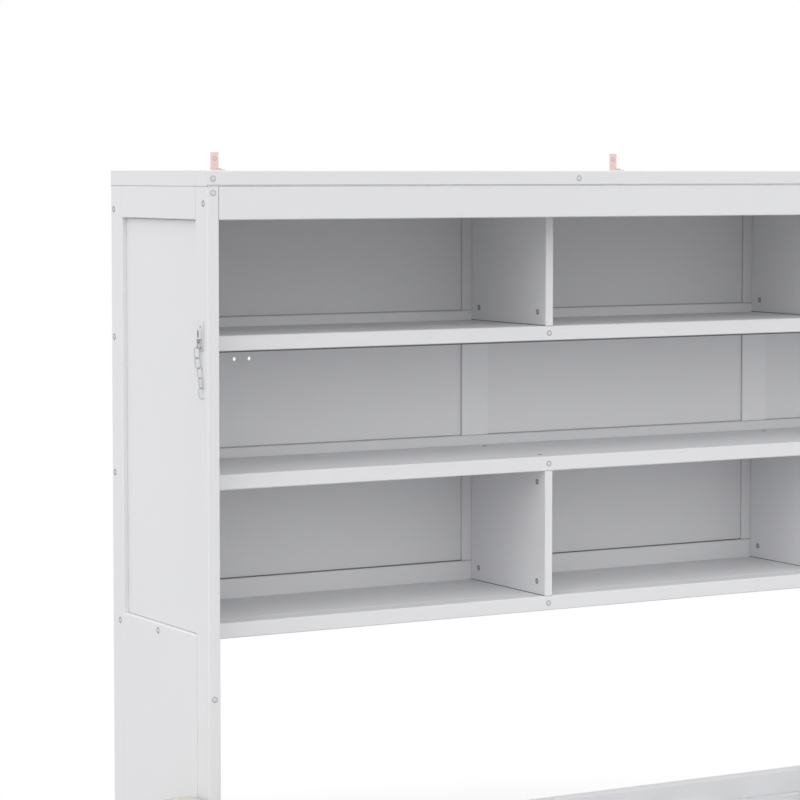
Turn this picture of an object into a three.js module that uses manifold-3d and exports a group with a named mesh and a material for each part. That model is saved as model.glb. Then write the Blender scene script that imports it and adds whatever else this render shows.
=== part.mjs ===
// A white painted wall bed with a sofa in front of it. A shallow bookcase cabinet stands against
// the wall. A double bed frame turns about two pins in the cabinet's front posts: lowered, it stands
// on two swing legs above the sofa's seat, and raised, its panelled underside is the sofa's back.
//
// Millimetres. +X is right as seen from the front, -Y is the front, +Z is up. While the pieces are
// made, X = 0 is the middle, Y = 0 the cabinet's front plane and Z = 0 the floor.
import * as THREE from "three";
import { mergeVertices } from "three/addons/utils/BufferGeometryUtils.js";
import Module from "manifold-3d";

const wasm = await Module();
wasm.setup();

// Clearances
const joint = 0.3; // between two boards that meet
const running = 0.8; // between a steel piece that turns and its neighbour
const padClearance = 0.5; // between an upholstered piece and what it lies against

// Cabinet
const cabinetWidth = 2124;
const cabinetHeight = 1740;
const cabinetDepth = 388;
const postWidth = 22;
const postDepth = 46;
const topThickness = 25;
const frameWidth = 57; // width of every rail and batten of the frames
const frontRailThickness = 22;
const boardEase = 1.5; // chamfer on the long edges of the boards
const shelfFront = 96.5; // from the front plane to the front edge of the shelves
const backRailThickness = 32;
const shelfThickness = 26.5;
const shelfTops = [281, 518.5, 774]; // below the cabinet's top
const backRailTops = [263, 500, 738]; // below the cabinet's top
const shelfStripWidth = 46; // the glued strip at the front edge of a shelf
const shelfRearStripWidth = 48;
const grooveDepth = 1; // of the line along each glued joint of a shelf
const dividerThickness = 16;
const dividerOffset = 327; // from the middle to a divider's middle
const backPanelThickness = 5;
const backPanelRecess = 4; // behind the face of the rails and battens
const backPanelReveal = 0.8; // shadow line round a back panel
const cableHoleDiameter = 7.5;
const cableHoleSpacing = 30;
const cableHoleFromLeft = 244.5; // to the middle of the pair
const cableHoleBelowTop = 340;
const sidePanelRecess = 9;
const sidePanelLip = 3; // from a side panel's outer face to its tongue
const sidePanelTongue = 6; // depth and thickness of the tongue in the posts' grooves
const sideBoardTop = 782; // below the cabinet's top
const sideBoardFloorGap = 60;
const stretcherThickness = 22;

// Wall brackets
const bracketWidth = 15.5;
const bracketHeight = 33;
const bracketFoot = 29;
const bracketThickness = 2;
const bracketHole = 6;
const bracketHoleFromEnd = 11; // from an end of the angle to its hole
const bracketFromSide = 203.5; // from the cabinet's side to an outer bracket
const middleBracketOffset = 5.5; // to the right of the middle

// Bed frame
const pivotBehindFront = 23;
const railTop = 531; // above the floor, lowered
const pivotAboveRail = 36;
const bedBehindPivot = 325;
const mattressWidth = 1400;
const mattressPlay = 8;
const longRailThickness = 28;
const endRailThickness = 22;
const railHeight = 110;
const railEase = 3;
const postGap = 9; // between a post and the bed's end
const slatDrop = 45; // from the rail's top to the slats' top
const slatThickness = 18;
const slatWidth = 86;
const slatCount = 13;
const slatPlay = 1; // between a slat's end and the long rails
const cleatWidth = 20;
const cleatHeight = 35;
const beamWidth = 45;
const facePanelThickness = 6;

// Pivots
const pinDiameter = 12;
const pivotPlateThickness = 2.4;
const pivotPlateHeight = 120;
const pivotPlateRadius = 8;
const pinEnd = 3; // how far the pin stands out of its nut
const earThickness = 4.5;
const earEyeRadius = 23;
const earFootWidth = 130;
const earFootHeight = 60;
const earAboveRailBottom = 8;
const earShoulderTurn = 0.35; // radians below level at which the eye's rim meets the shoulders
const nutDiameter = 20;
const nutThickness = 7;

// Swing legs
const legWidth = 70;
const legFootWidth = 52;
const legThickness = 28;
const legFromEnd = 85;
const legHeadDiameter = 26;
const legHeadThickness = 5;
const legHeadEase = 3;
const legPinDepth = 5; // of the leg's pin in the front rail

// Pull, stop strip and chain
const pullLength = 256;
const pullDiameter = 10;
const pullReach = 30;
const pullBend = 14;
const stopStripLength = 300;
const stopStripWidth = 20;
const stopStripEase = 3;
const keeperWidth = 20;
const keeperHeight = 50;
const fittingThickness = 1.5; // of the keeper's and the catch's plates
const fittingRadius = 3;
const keeperBehindFront = 25;
const keeperBelowTop = 278; // to the keeper's middle
const channelWidth = 8;
const channelDepth = 6;
const channelEase = 1.2;
const channelWall = 1.2;
const channelInset = 2; // from the keeper's end to its channel
const slotWidth = 3;
const slotInset = 8; // from the channel's end to its slot
const eyeRadius = 3.6;
const eyeBelowMiddle = 9;
const eyeSeat = 0.7; // how far the eye's ring is let into the channel's end
const linkLength = 21;
const firstLinkLength = 14; // of the short link in the keeper's eye
const linkWidth = 9.5;
const wireDiameter = 2.2;
const linkCount = 6;
const linkBite = 0.3; // how far the links are closed up on each other, as one hanging piece
const chainLean = 1; // how far the chain leans back to the post
const catchLength = 70;
const catchWidth = 20;
const catchEnd = 12; // of flat plate with a screw at each end of the catch
const catchEntry = 6.4; // diameter of the hole where the chain's end goes in
const catchFromPivot = 873;
const catchBelowRail = 27;

// Sofa
const armWidth = 130;
const armTop = 688;
const armOverlap = 58; // how far an arm reaches back along the cabinet's side
const armBottom = 45;
const armRadius = 20;
const armCrown = 5;
const skidInset = 18;
const skidEndInset = 20;
const sofaDepth = 745; // from the cabinet's front plane to the arms' front
const sofaBackGap = 8; // between the raised bed's face and the seat
const seatTop = 275; // of the seat box
const cushionHeight = 133;
const cushionCrown = 6;
const cushionRadius = 34;
const cushionPull = 5; // how far the sides are drawn in between the corners
const cushionGap = 4;
const cushionCount = 3;
const cushionOverhang = 3;
const apronThickness = 28;
const apronRadius = 8;
const deckThickness = 18;
const supportOffset = 355;

// Places worked out from the sizes
const halfWidth = cabinetWidth / 2;
const innerHalf = halfWidth - postWidth;
const boardHalf = innerHalf - joint;
const rearPostFront = cabinetDepth - postDepth;
const backFace = cabinetDepth - backRailThickness;
const postTop = cabinetHeight - topThickness - joint;
const railBottomZ = postTop - frameWidth;
const pivotZ = railTop + pivotAboveRail;
const bedHalf = innerHalf - postGap;
const bedInnerHalf = bedHalf - endRailThickness;
const bedDepth = mattressWidth + mattressPlay + 2 * longRailThickness;
const bedRear = pivotBehindFront + bedBehindPivot;
const bedFront = bedRear - bedDepth;
const railBottom = railTop - railHeight;
const slatTop = railTop - slatDrop;
const slatBottom = slatTop - slatThickness;
const cleatTop = slatBottom - joint;
const cleatBottom = cleatTop - cleatHeight;
const raisedFace = pivotBehindFront - (pivotZ - railBottom);
const raisedBack = pivotBehindFront - pivotAboveRail;
const legPivotZ = (railTop + railBottom) / 2;
const legMiddle = bedHalf - legFromEnd;
const sofaBack = raisedFace - sofaBackGap;
const sofaFront = -sofaDepth;
const armInner = halfWidth + padClearance;
const armOuter = halfWidth + armWidth;
const sideNames = [["left", -1], ["right", 1]];

// Finishes
const paint = { color: 0xe6e6ea, roughness: 0.55, metalness: 0 };
const backPaint = { color: 0xdededf, roughness: 0.6, metalness: 0 };
const pine = { color: 0xd9b98a, roughness: 0.7, metalness: 0 };
const zincSteel = { color: 0xb9bcc0, roughness: 0.35, metalness: 1 };
const tintedSteel = { color: 0xe6c8c4, roughness: 0.4, metalness: 0.3 };
const chromeSteel = { color: 0xc9cbd0, roughness: 0.2, metalness: 1 };
const rubber = { color: 0x9a9a98, roughness: 0.9, metalness: 0 };
const linen = { color: 0xcfc9bd, roughness: 0.95, metalness: 0 };
const darkWood = { color: 0x5b4a3a, roughness: 0.6, metalness: 0 };

// A closed surface with merged corners, as a solid that can be cut and joined.
function solidOf(geometry) {
  const bare = geometry.index ? geometry.toNonIndexed() : geometry.clone();
  bare.deleteAttribute("normal");
  bare.deleteAttribute("uv");
  const merged = mergeVertices(bare, 1e-4);
  return new wasm.Manifold(
    new wasm.Mesh({
      numProp: 3,
      vertProperties: merged.attributes.position.array,
      triVerts: new Uint32Array(merged.index.array),
    }),
  );
}

function geometryOf(solid) {
  const mesh = solid.getMesh();
  const geometry = new THREE.BufferGeometry();
  geometry.setAttribute("position", new THREE.BufferAttribute(mesh.vertProperties, 3));
  geometry.setIndex(new THREE.BufferAttribute(mesh.triVerts, 1));
  const faceted = geometry.toNonIndexed();
  faceted.computeVertexNormals();
  return faceted;
}

function cut(geometry, ...tools) {
  const rest = tools.reduce((left, tool) => left.subtract(solidOf(tool)), solidOf(geometry));
  return geometryOf(rest);
}

function join(...pieces) {
  return geometryOf(pieces.map(solidOf).reduce((whole, next) => whole.add(next)));
}

// Carries a flat outline along an axis. Along x the outline is (y, z), along y (z, x), along z (x, y).
function carried(shape, along, from, to, curveSegments = 6) {
  const geometry = new THREE.ExtrudeGeometry(shape, {
    depth: to - from,
    bevelEnabled: false,
    curveSegments,
  });
  geometry.translate(0, 0, from);
  const [x, y, z] = [new THREE.Vector3(1, 0, 0), new THREE.Vector3(0, 1, 0), new THREE.Vector3(0, 0, 1)];
  const turn = new THREE.Matrix4();
  if (along === "x") turn.makeBasis(y, z, x);
  if (along === "y") turn.makeBasis(z, x, y);
  return geometry.applyMatrix4(turn);
}

function outline(points) {
  return new THREE.Shape(points.map(([u, v]) => new THREE.Vector2(u, v)));
}

// A rectangle whose corners are cut off by a small chamfer.
function easedRectangle([u0, u1], [v0, v1], ease) {
  return outline([
    [u0 + ease, v0], [u1 - ease, v0], [u1, v0 + ease], [u1, v1 - ease],
    [u1 - ease, v1], [u0 + ease, v1], [u0, v1 - ease], [u0, v0 + ease],
  ]);
}

function roundedRectangle([u0, u1], [v0, v1], radius) {
  const shape = new THREE.Shape();
  shape.absarc(u1 - radius, v0 + radius, radius, -Math.PI / 2, 0);
  shape.absarc(u1 - radius, v1 - radius, radius, 0, Math.PI / 2);
  shape.absarc(u0 + radius, v1 - radius, radius, Math.PI / 2, Math.PI);
  shape.absarc(u0 + radius, v0 + radius, radius, Math.PI, 1.5 * Math.PI);
  return shape;
}

// A board with eased long edges that runs along one axis.
function board(x, y, z, along, ease = boardEase) {
  if (along === "x") return carried(easedRectangle(y, z, ease), "x", ...x);
  if (along === "y") return carried(easedRectangle(z, x, ease), "y", ...y);
  return carried(easedRectangle(x, y, ease), "z", ...z);
}

// A square-edged block, for grooves, notches and plain parts of a joint.
function block(x, y, z) {
  const middle = (range) => (range[0] + range[1]) / 2;
  const size = (range) => range[1] - range[0];
  return new THREE.BoxGeometry(size(x), size(y), size(z)).translate(middle(x), middle(y), middle(z));
}

// A cylinder along an axis through the point at, from one coordinate of that axis to another.
function rod(diameter, along, at, from, to, sides = 20) {
  const geometry = new THREE.CylinderGeometry(diameter / 2, diameter / 2, to - from, sides);
  if (along === "x") geometry.rotateZ(-Math.PI / 2);
  if (along === "z") geometry.rotateX(Math.PI / 2);
  const place = new THREE.Vector3(...at);
  place[along] = (from + to) / 2;
  return geometry.translate(place.x, place.y, place.z);
}

// A range that lies as far from the middle on the left as on the right.
function across(side, inner, outer) {
  return side < 0 ? [-outer, -inner] : [inner, outer];
}

// A named piece whose own origin is the middle of its box.
function piece(name, geometry, finish, parent) {
  geometry.computeBoundingBox();
  const middle = geometry.boundingBox.getCenter(new THREE.Vector3()).round();
  geometry.translate(-middle.x, -middle.y, -middle.z);
  const mesh = new THREE.Mesh(geometry, new THREE.MeshStandardMaterial(finish));
  mesh.name = name;
  mesh.position.copy(middle).sub(parent.position);
  parent.add(mesh);
  return mesh;
}

function groupAt(x, y, z, parent) {
  const group = new THREE.Group();
  group.position.set(x, y, z);
  parent.add(group);
  return group;
}

const model = new THREE.Group();
const cabinet = groupAt(0, 0, 0, model);
const sofa = groupAt(0, 0, 0, model);

const below = (depth) => cabinetHeight - depth;

// Posts: the front pair carries the bed, and all four are grooved for the side panels.
const panelOuterU = halfWidth - sidePanelRecess;
const tongueOuterU = panelOuterU - sidePanelLip;
const tongueInnerU = tongueOuterU - sidePanelTongue;
const grooveReach = sidePanelTongue + joint;
const sidePanelTopZ = railBottomZ - joint;
const sidePanelBottomZ = below(sideBoardTop) + joint;

function sideGroove(side, y, z) {
  return block(across(side, tongueInnerU - joint, tongueOuterU + joint), y, z);
}

for (const [sideName, side] of sideNames) {
  const x = across(side, innerHalf, halfWidth);
  const grooveZ = [sidePanelBottomZ - grooveReach, postTop - frameWidth + grooveReach];
  const frontPost = board(x, [0, postDepth], [0, postTop], "z");
  const frontGroove = sideGroove(side, [postDepth - grooveReach, postDepth + 1], grooveZ);
  piece("front_post_" + sideName, cut(frontPost, frontGroove), paint, cabinet);

  const rearPost = board(x, [rearPostFront, cabinetDepth], [0, postTop], "z");
  const rearGroove = sideGroove(side, [rearPostFront - 1, rearPostFront + grooveReach], grooveZ);
  piece("rear_post_" + sideName, cut(rearPost, rearGroove), paint, cabinet);
}

// Sides: a rail above, a recessed panel in grooves, and a flush board below.
const sideY = [postDepth + joint, rearPostFront - joint];
const panelY = [sideY[0] - sidePanelTongue, sideY[1] + sidePanelTongue];

for (const [sideName, side] of sideNames) {
  const x = across(side, innerHalf, halfWidth);
  const rail = board(x, sideY, [railBottomZ, postTop], "y");
  const railGroove = sideGroove(side, [panelY[0], panelY[1]], [railBottomZ - 1, railBottomZ + grooveReach]);
  piece("side_top_rail_" + sideName, cut(rail, railGroove), paint, cabinet);

  const panel = block(
    across(side, innerHalf, panelOuterU),
    sideY,
    [sidePanelBottomZ, sidePanelTopZ],
  );
  const tongue = block(
    across(side, tongueInnerU, tongueOuterU),
    panelY,
    [sidePanelBottomZ - sidePanelTongue, sidePanelTopZ + sidePanelTongue],
  );
  piece("side_panel_" + sideName, join(panel, tongue), paint, cabinet);

  const lowerZ = [sideBoardFloorGap, below(sideBoardTop)];
  const lower = board(x, sideY, lowerZ, "y");
  const lowerGroove = sideGroove(side, [panelY[0], panelY[1]], [lowerZ[1] - grooveReach, lowerZ[1] + 1]);
  piece("side_lower_board_" + sideName, cut(lower, lowerGroove), paint, cabinet);
}

// Top: a beam along the front edge and one wide board behind it, over the posts.
const topZ = [below(topThickness), cabinetHeight];
piece("top_front_beam", board([-halfWidth, halfWidth], [0, postDepth], topZ, "x"), paint, cabinet);
piece(
  "top_board",
  board([-halfWidth, halfWidth], [postDepth + joint, cabinetDepth], topZ, "x"),
  paint,
  cabinet,
);
piece(
  "front_top_rail",
  board([-boardHalf, boardHalf], [0, frontRailThickness], [railBottomZ, postTop], "x"),
  paint,
  cabinet,
);

// Shelves: each is glued up from a front strip, a wide board and a rear strip, and a fine line is
// scored along both glued joints, above and below.
function shelfSection(y, z, ease) {
  const joints = [y[0] + shelfStripWidth, y[1] - shelfRearStripWidth];
  const scored = (level, depth, places) =>
    places.flatMap((at) => [[at - depth, level], [at, level + depth], [at + depth, level]]);
  const under = scored(z[0], grooveDepth, joints);
  const above = scored(z[1], -grooveDepth, [...joints].reverse());
  return outline([
    [y[0] + ease, z[0]], ...under, [y[1] - ease, z[0]], [y[1], z[0] + ease], [y[1], z[1] - ease],
    [y[1] - ease, z[1]], ...above, [y[0] + ease, z[1]], [y[0], z[1] - ease], [y[0], z[0] + ease],
  ]);
}

const shelfBack = backFace - joint;
shelfTops.forEach((top, row) => {
  const z = [below(top + shelfThickness), below(top)];
  const section = shelfSection([shelfFront, shelfBack], z, boardEase);
  piece("shelf_" + (row + 1), carried(section, "x", -boardHalf, boardHalf), paint, cabinet);
});

// Dividers: a pair in the top row and a pair in the bottom row.
const shelfUnder = (row) => below(shelfTops[row] + shelfThickness);
const dividerRows = [
  ["top", [below(shelfTops[0]) + joint, postTop]],
  ["bottom", [below(shelfTops[2]) + joint, shelfUnder(1) - joint]],
];
for (const [rowName, z] of dividerRows) {
  for (const [sideName, side] of sideNames) {
    const x = across(side, dividerOffset - dividerThickness / 2, dividerOffset + dividerThickness / 2);
    const divider = board(x, [shelfFront, shelfBack], z, "z", 1);
    piece("divider_" + rowName + "_" + sideName, divider, paint, cabinet);
  }
}

// Back: four deep rails, and between them a thin board per row with four battens glued on its face.
const backRailTopZ = [postTop, ...backRailTops.map(below)];
backRailTopZ.forEach((top, row) => {
  const name = row === 0 ? "back_top_rail" : "back_rail_" + row;
  const rail = board([-boardHalf, boardHalf], [backFace, cabinetDepth], [top - frameWidth, top], "x");
  piece(name, rail, paint, cabinet);
});

const panelFront = backFace + backPanelRecess;
function backRow(row) {
  const z = [
    backRailTopZ[row + 1] + backPanelReveal,
    backRailTopZ[row] - frameWidth - backPanelReveal,
  ];
  const sheet = block([-boardHalf, boardHalf], [panelFront, panelFront + backPanelThickness], z);
  const battenX = [
    [-boardHalf, frameWidth - boardHalf],
    [-dividerOffset - frameWidth / 2, frameWidth / 2 - dividerOffset],
    [dividerOffset - frameWidth / 2, dividerOffset + frameWidth / 2],
    [boardHalf - frameWidth, boardHalf],
  ];
  const battens = battenX.map((x) => block(x, [backFace, panelFront + 1], z));
  return join(sheet, ...battens);
}

const cableHoles = [-1, 1].map((side) => {
  const x = cableHoleFromLeft - halfWidth + (side * cableHoleSpacing) / 2;
  const at = [x, 0, below(cableHoleBelowTop)];
  return rod(cableHoleDiameter, "y", at, panelFront - 1, panelFront + backPanelThickness + 1, 16);
});
piece("back_panel_row_1", backRow(0), backPaint, cabinet);
piece("back_panel_row_2", cut(backRow(1), ...cableHoles), backPaint, cabinet);
piece("back_panel_row_3", backRow(2), backPaint, cabinet);

// A stretcher ties the rear posts together near the floor.
piece(
  "rear_stretcher",
  board(
    [-boardHalf, boardHalf],
    [cabinetDepth - stretcherThickness, cabinetDepth],
    [sideBoardFloorGap, sideBoardFloorGap + frameWidth],
    "x",
  ),
  paint,
  cabinet,
);

// Wall brackets: bent steel angles, screwed down on the top and up against the wall.
function bracket(x) {
  const left = x - bracketWidth / 2;
  const right = x + bracketWidth / 2;
  const [back, foot] = [cabinetDepth, cabinetHeight + joint];
  const bend = bracketThickness;
  const section = outline([
    [back - bracketFoot, foot], [back - bend / 2, foot], [back, foot + bend / 2],
    [back, foot + bracketHeight], [back - bend, foot + bracketHeight],
    [back - bend, foot + bend], [back - bracketFoot, foot + bend],
  ]);
  const holeZ = foot + bracketHeight - bracketHoleFromEnd;
  const holeY = back - bracketFoot + bracketHoleFromEnd;
  return cut(
    carried(section, "x", left, right),
    rod(bracketHole, "y", [x, 0, holeZ], back - 2 * bend, back + 1, 14),
    rod(bracketHole, "z", [x, holeY, 0], foot - 1, foot + 2 * bend, 14),
  );
}
const bracketPlaces = [
  ["left", bracketFromSide - halfWidth],
  ["middle", middleBracketOffset],
  ["right", halfWidth - bracketFromSide],
];
for (const [place, x] of bracketPlaces) {
  piece("wall_bracket_" + place, bracket(x), tintedSteel, cabinet);
}

// Bed frame. Its group stands on the pivot axis, about which the whole frame turns.
const bed = groupAt(0, pivotBehindFront, pivotZ, model);
const bedX = [-bedHalf, bedHalf];
const innerY = [bedFront + longRailThickness + joint, bedRear - longRailThickness - joint];
const cleatHalf = bedInnerHalf - joint;

function longRail(y, cleatY) {
  const rail = board(bedX, y, [railBottom, railTop], "x", railEase);
  const cleat = block([-cleatHalf, cleatHalf], cleatY, [cleatBottom, cleatTop]);
  return join(rail, cleat);
}

// The front rail also holds the two shouldered pins on which the swing legs turn.
function legPin(side) {
  const headFront = bedFront - running - legThickness - running - legHeadThickness;
  const r = pinDiameter / 2;
  const headR = legHeadDiameter / 2;
  const pinLength = bedFront + legPinDepth - headFront;
  const profile = [
    [0, 0], [headR - legHeadEase, 0], [headR, legHeadEase / 2], [headR, legHeadThickness],
    [r, legHeadThickness], [r, pinLength], [0, pinLength],
  ];
  const pin = new THREE.LatheGeometry(profile.map(([u, v]) => new THREE.Vector2(u, v)), 20);
  return pin.translate(side * legMiddle, headFront, legPivotZ);
}

const frontRail = longRail(
  [bedFront, bedFront + longRailThickness],
  [bedFront + longRailThickness - 1, bedFront + longRailThickness + cleatWidth],
);
piece("bed_front_rail", join(frontRail, legPin(-1), legPin(1)), paint, bed);
piece(
  "bed_rear_rail",
  longRail(
    [bedRear - longRailThickness, bedRear],
    [bedRear - longRailThickness - cleatWidth, bedRear - longRailThickness + 1],
  ),
  paint,
  bed,
);
for (const [sideName, side] of sideNames) {
  const endRail = board(across(side, bedInnerHalf, bedHalf), innerY, [railBottom, railTop], "y", railEase);
  piece("bed_end_rail_" + sideName, endRail, paint, bed);
}

// Slatted base: slats across the bed, fixed on one beam that runs along its middle.
const slatY = [innerY[0] + slatPlay, innerY[1] - slatPlay];
const slatPitch = (2 * cleatHalf - slatWidth) / (slatCount - 1);
const bedMiddleY = (bedFront + bedRear) / 2;
const slats = Array.from({ length: slatCount }, (_, index) => {
  const left = index * slatPitch - cleatHalf;
  return board([left, left + slatWidth], slatY, [slatBottom, slatTop], "y", 2);
});
const beam = block(
  [-cleatHalf, cleatHalf],
  [bedMiddleY - beamWidth / 2, bedMiddleY + beamWidth / 2],
  [cleatBottom, slatBottom + 1],
);
piece("bed_slat_base", join(beam, ...slats), paint, bed);

// Face: the thin board that shows when the bed is raised, with two battens glued on it.
const faceZ = [cleatBottom - joint - facePanelThickness, cleatBottom - joint];
const faceSheet = block([-cleatHalf, cleatHalf], [innerY[0], innerY[1]], faceZ);
const faceBattens = [-1, 1].map((side) =>
  block(
    [side * dividerOffset - frameWidth / 2, side * dividerOffset + frameWidth / 2],
    [innerY[0], innerY[1]],
    [railBottom, faceZ[0] + 1],
  ),
);
piece("bed_face_panel", join(faceSheet, ...faceBattens), paint, bed);

// Pivots: a plate with a pin and its lock nut on each front post, and an ear on each end rail.
const earOuter = bedHalf + joint + earThickness;
for (const [sideName, side] of sideNames) {
  const plateX = across(side, innerHalf - joint - pivotPlateThickness, innerHalf - joint);
  const plateZ = [pivotZ - pivotPlateHeight / 2, pivotZ + pivotPlateHeight / 2];
  const plate = carried(
    roundedRectangle([joint, postDepth - joint], plateZ, pivotPlateRadius),
    "x",
    ...plateX,
  );
  const nutU = [bedHalf - running - nutThickness, bedHalf - running];
  const pinU = [nutU[0] - pinEnd, innerHalf - joint - pivotPlateThickness / 2];
  const axis = [0, pivotBehindFront, pivotZ];
  const pin = rod(pinDiameter, "x", axis, ...across(side, ...pinU), 24);
  const nut = rod(nutDiameter, "x", axis, ...across(side, ...nutU), 6);
  piece("pivot_plate_" + sideName, join(plate, pin, nut), zincSteel, cabinet);

  const foot = [pivotBehindFront - earFootWidth / 2, pivotBehindFront + earFootWidth / 2];
  const shoulderZ = railBottom + earFootHeight;
  const ear = new THREE.Shape();
  ear.moveTo(foot[0], railBottom + earAboveRailBottom);
  ear.lineTo(foot[1], railBottom + earAboveRailBottom);
  ear.lineTo(foot[1], shoulderZ);
  ear.absarc(pivotBehindFront, pivotZ, earEyeRadius, -earShoulderTurn, Math.PI + earShoulderTurn);
  ear.lineTo(foot[0], shoulderZ);
  ear.closePath();
  const eyeHole = new THREE.Path();
  eyeHole.absarc(pivotBehindFront, pivotZ, (pinDiameter + running) / 2, 0, 2 * Math.PI, true);
  ear.holes.push(eyeHole);
  const earPlate = carried(ear, "x", ...across(side, bedHalf + joint, earOuter), 12);
  piece("pivot_ear_" + sideName, earPlate, zincSteel, bed);
}

// Pull: a bar on two feet under the front rail, which is the top edge of the raised face.
const pullY = bedFront + longRailThickness / 2;
const pullZ = railBottom - pullReach;
const pullRadius = pullDiameter / 2;
const pullPath = new THREE.CurvePath();
const pullPoint = (x, z) => new THREE.Vector3(x, pullY, z);
const footX = pullLength / 2;
const pullFootZ = railBottom - joint;
pullPath.add(new THREE.LineCurve3(pullPoint(-footX, pullFootZ), pullPoint(-footX, pullZ + pullBend)));
pullPath.add(
  new THREE.QuadraticBezierCurve3(
    pullPoint(-footX, pullZ + pullBend), pullPoint(-footX, pullZ), pullPoint(pullBend - footX, pullZ),
  ),
);
pullPath.add(
  new THREE.LineCurve3(pullPoint(pullBend - footX, pullZ), pullPoint(footX - pullBend, pullZ)),
);
pullPath.add(
  new THREE.QuadraticBezierCurve3(
    pullPoint(footX - pullBend, pullZ), pullPoint(footX, pullZ), pullPoint(footX, pullZ + pullBend),
  ),
);
pullPath.add(new THREE.LineCurve3(pullPoint(footX, pullZ + pullBend), pullPoint(footX, pullFootZ)));
const pullSection = new THREE.Shape();
pullSection.absarc(0, 0, pullRadius, 0, 2 * Math.PI);
const pullBar = new THREE.ExtrudeGeometry(pullSection, {
  steps: 60,
  curveSegments: 5,
  extrudePath: pullPath,
  bevelEnabled: false,
});
piece("bed_pull", pullBar, zincSteel, bed);

// Stop strip: rubber on the front rail's top, which meets the cabinet's front rail when raised.
const stopHeight = -raisedBack - padClearance;
const stopY = bedFront + longRailThickness / 2;
piece(
  "bed_stop_strip",
  board(
    [-stopStripLength / 2, stopStripLength / 2],
    [stopY - stopStripWidth / 2, stopY + stopStripWidth / 2],
    [railTop + joint, railTop + stopHeight],
    "x",
    stopStripEase,
  ),
  rubber,
  bed,
);

// Swing legs: round at the top about their pin, tapered to the foot.
for (const [sideName, side] of sideNames) {
  const leg = groupAt(side * legMiddle, bedFront - pivotBehindFront, legPivotZ - pivotZ, bed);
  const middle = side * legMiddle;
  const shape = new THREE.Shape();
  shape.moveTo(0, middle - legFootWidth / 2);
  shape.lineTo(legPivotZ, middle - legWidth / 2);
  shape.absarc(legPivotZ, middle, legWidth / 2, -Math.PI / 2, Math.PI / 2);
  shape.lineTo(0, middle + legFootWidth / 2);
  shape.closePath();
  const hole = new THREE.Path();
  hole.absarc(legPivotZ, middle, (pinDiameter + running) / 2, 0, 2 * Math.PI, true);
  shape.holes.push(hole);
  const legY = [bedFront - running - legThickness, bedFront - running];
  const geometry = carried(shape, "y", ...legY, 10);
  const mesh = piece("bed_leg_" + sideName, geometry, paint, cabinet);
  mesh.position.sub(bed.position).sub(leg.position);
  leg.add(mesh);
}

// Chain catch: a pressed track on the bed's left end, in which the chain's end slides. Its channel is
// hollow behind the slot, and a round entry at the slot's front end lets the chain's end in.
const catchY = pivotBehindFront - catchFromPivot;
const catchZ = railTop - catchBelowRail;
const catchU = bedHalf + joint;
function chainCatch() {
  const half = catchLength / 2;
  const faceU = catchU + fittingThickness;
  const topU = faceU + channelDepth;
  const along = [catchY - half + catchEnd, catchY + half - catchEnd];
  const hollowY = [along[0] + channelWall, along[1] - channelWall];
  const wide = (width) => [catchZ - width / 2, catchZ + width / 2];
  const plate = carried(
    roundedRectangle([catchY - half, catchY + half], wide(catchWidth), fittingRadius),
    "x",
    ...across(-1, catchU, faceU),
  );
  const channel = board(across(-1, faceU - 1, topU), along, wide(channelWidth + slotWidth), "y", channelEase);
  const hollow = block(
    across(-1, faceU, topU - channelWall),
    hollowY,
    wide(channelWidth + slotWidth - 2 * channelWall),
  );
  const entryY = hollowY[0] + catchEntry / 2;
  const slot = block(across(-1, faceU, topU + 1), [entryY, hollowY[1] - slotWidth], wide(slotWidth));
  const entry = rod(catchEntry, "x", [0, entryY, catchZ], ...across(-1, faceU + 1, topU + 1), 16);
  return cut(join(plate, channel), hollow, slot, entry);
}
piece("chain_catch", chainCatch(), chromeSteel, bed);

// Chain keeper: a plate on the left post's outer face, with a raised slotted channel and an eye.
const keeperU = halfWidth + joint;
const keeperFace = keeperU + fittingThickness;
const keeperY = keeperBehindFront;
const keeperZ = below(keeperBelowTop);
const keeperTop = keeperZ + keeperHeight / 2;
const eyeU = keeperFace + channelDepth - joint;
const eyeZ = keeperZ - eyeBelowMiddle;
function chainKeeper() {
  const plate = carried(
    roundedRectangle(
      [keeperY - keeperWidth / 2, keeperY + keeperWidth / 2],
      [keeperZ - keeperHeight / 2, keeperTop],
      fittingRadius,
    ),
    "x",
    ...across(-1, keeperU, keeperFace),
  );
  const channelZ = [eyeZ + 2 * eyeRadius - eyeSeat, keeperTop - channelInset];
  const channel = board(
    across(-1, keeperFace - 1, keeperFace + channelDepth),
    [keeperY - channelWidth / 2, keeperY + channelWidth / 2],
    channelZ,
    "z",
    channelEase,
  );
  const slot = block(
    across(-1, keeperFace + 1, keeperFace + channelDepth + 1),
    [keeperY - slotWidth / 2, keeperY + slotWidth / 2],
    [channelZ[0] + slotInset, channelZ[1] - slotInset],
  );
  const eye = new THREE.TorusGeometry(eyeRadius, wireDiameter / 2, 8, 20)
    .rotateX(Math.PI / 2)
    .translate(-eyeU, keeperY, eyeZ + eyeRadius);
  return cut(join(plate, channel, eye), slot);
}
piece("chain_keeper", chainKeeper(), chromeSteel, cabinet);

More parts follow.
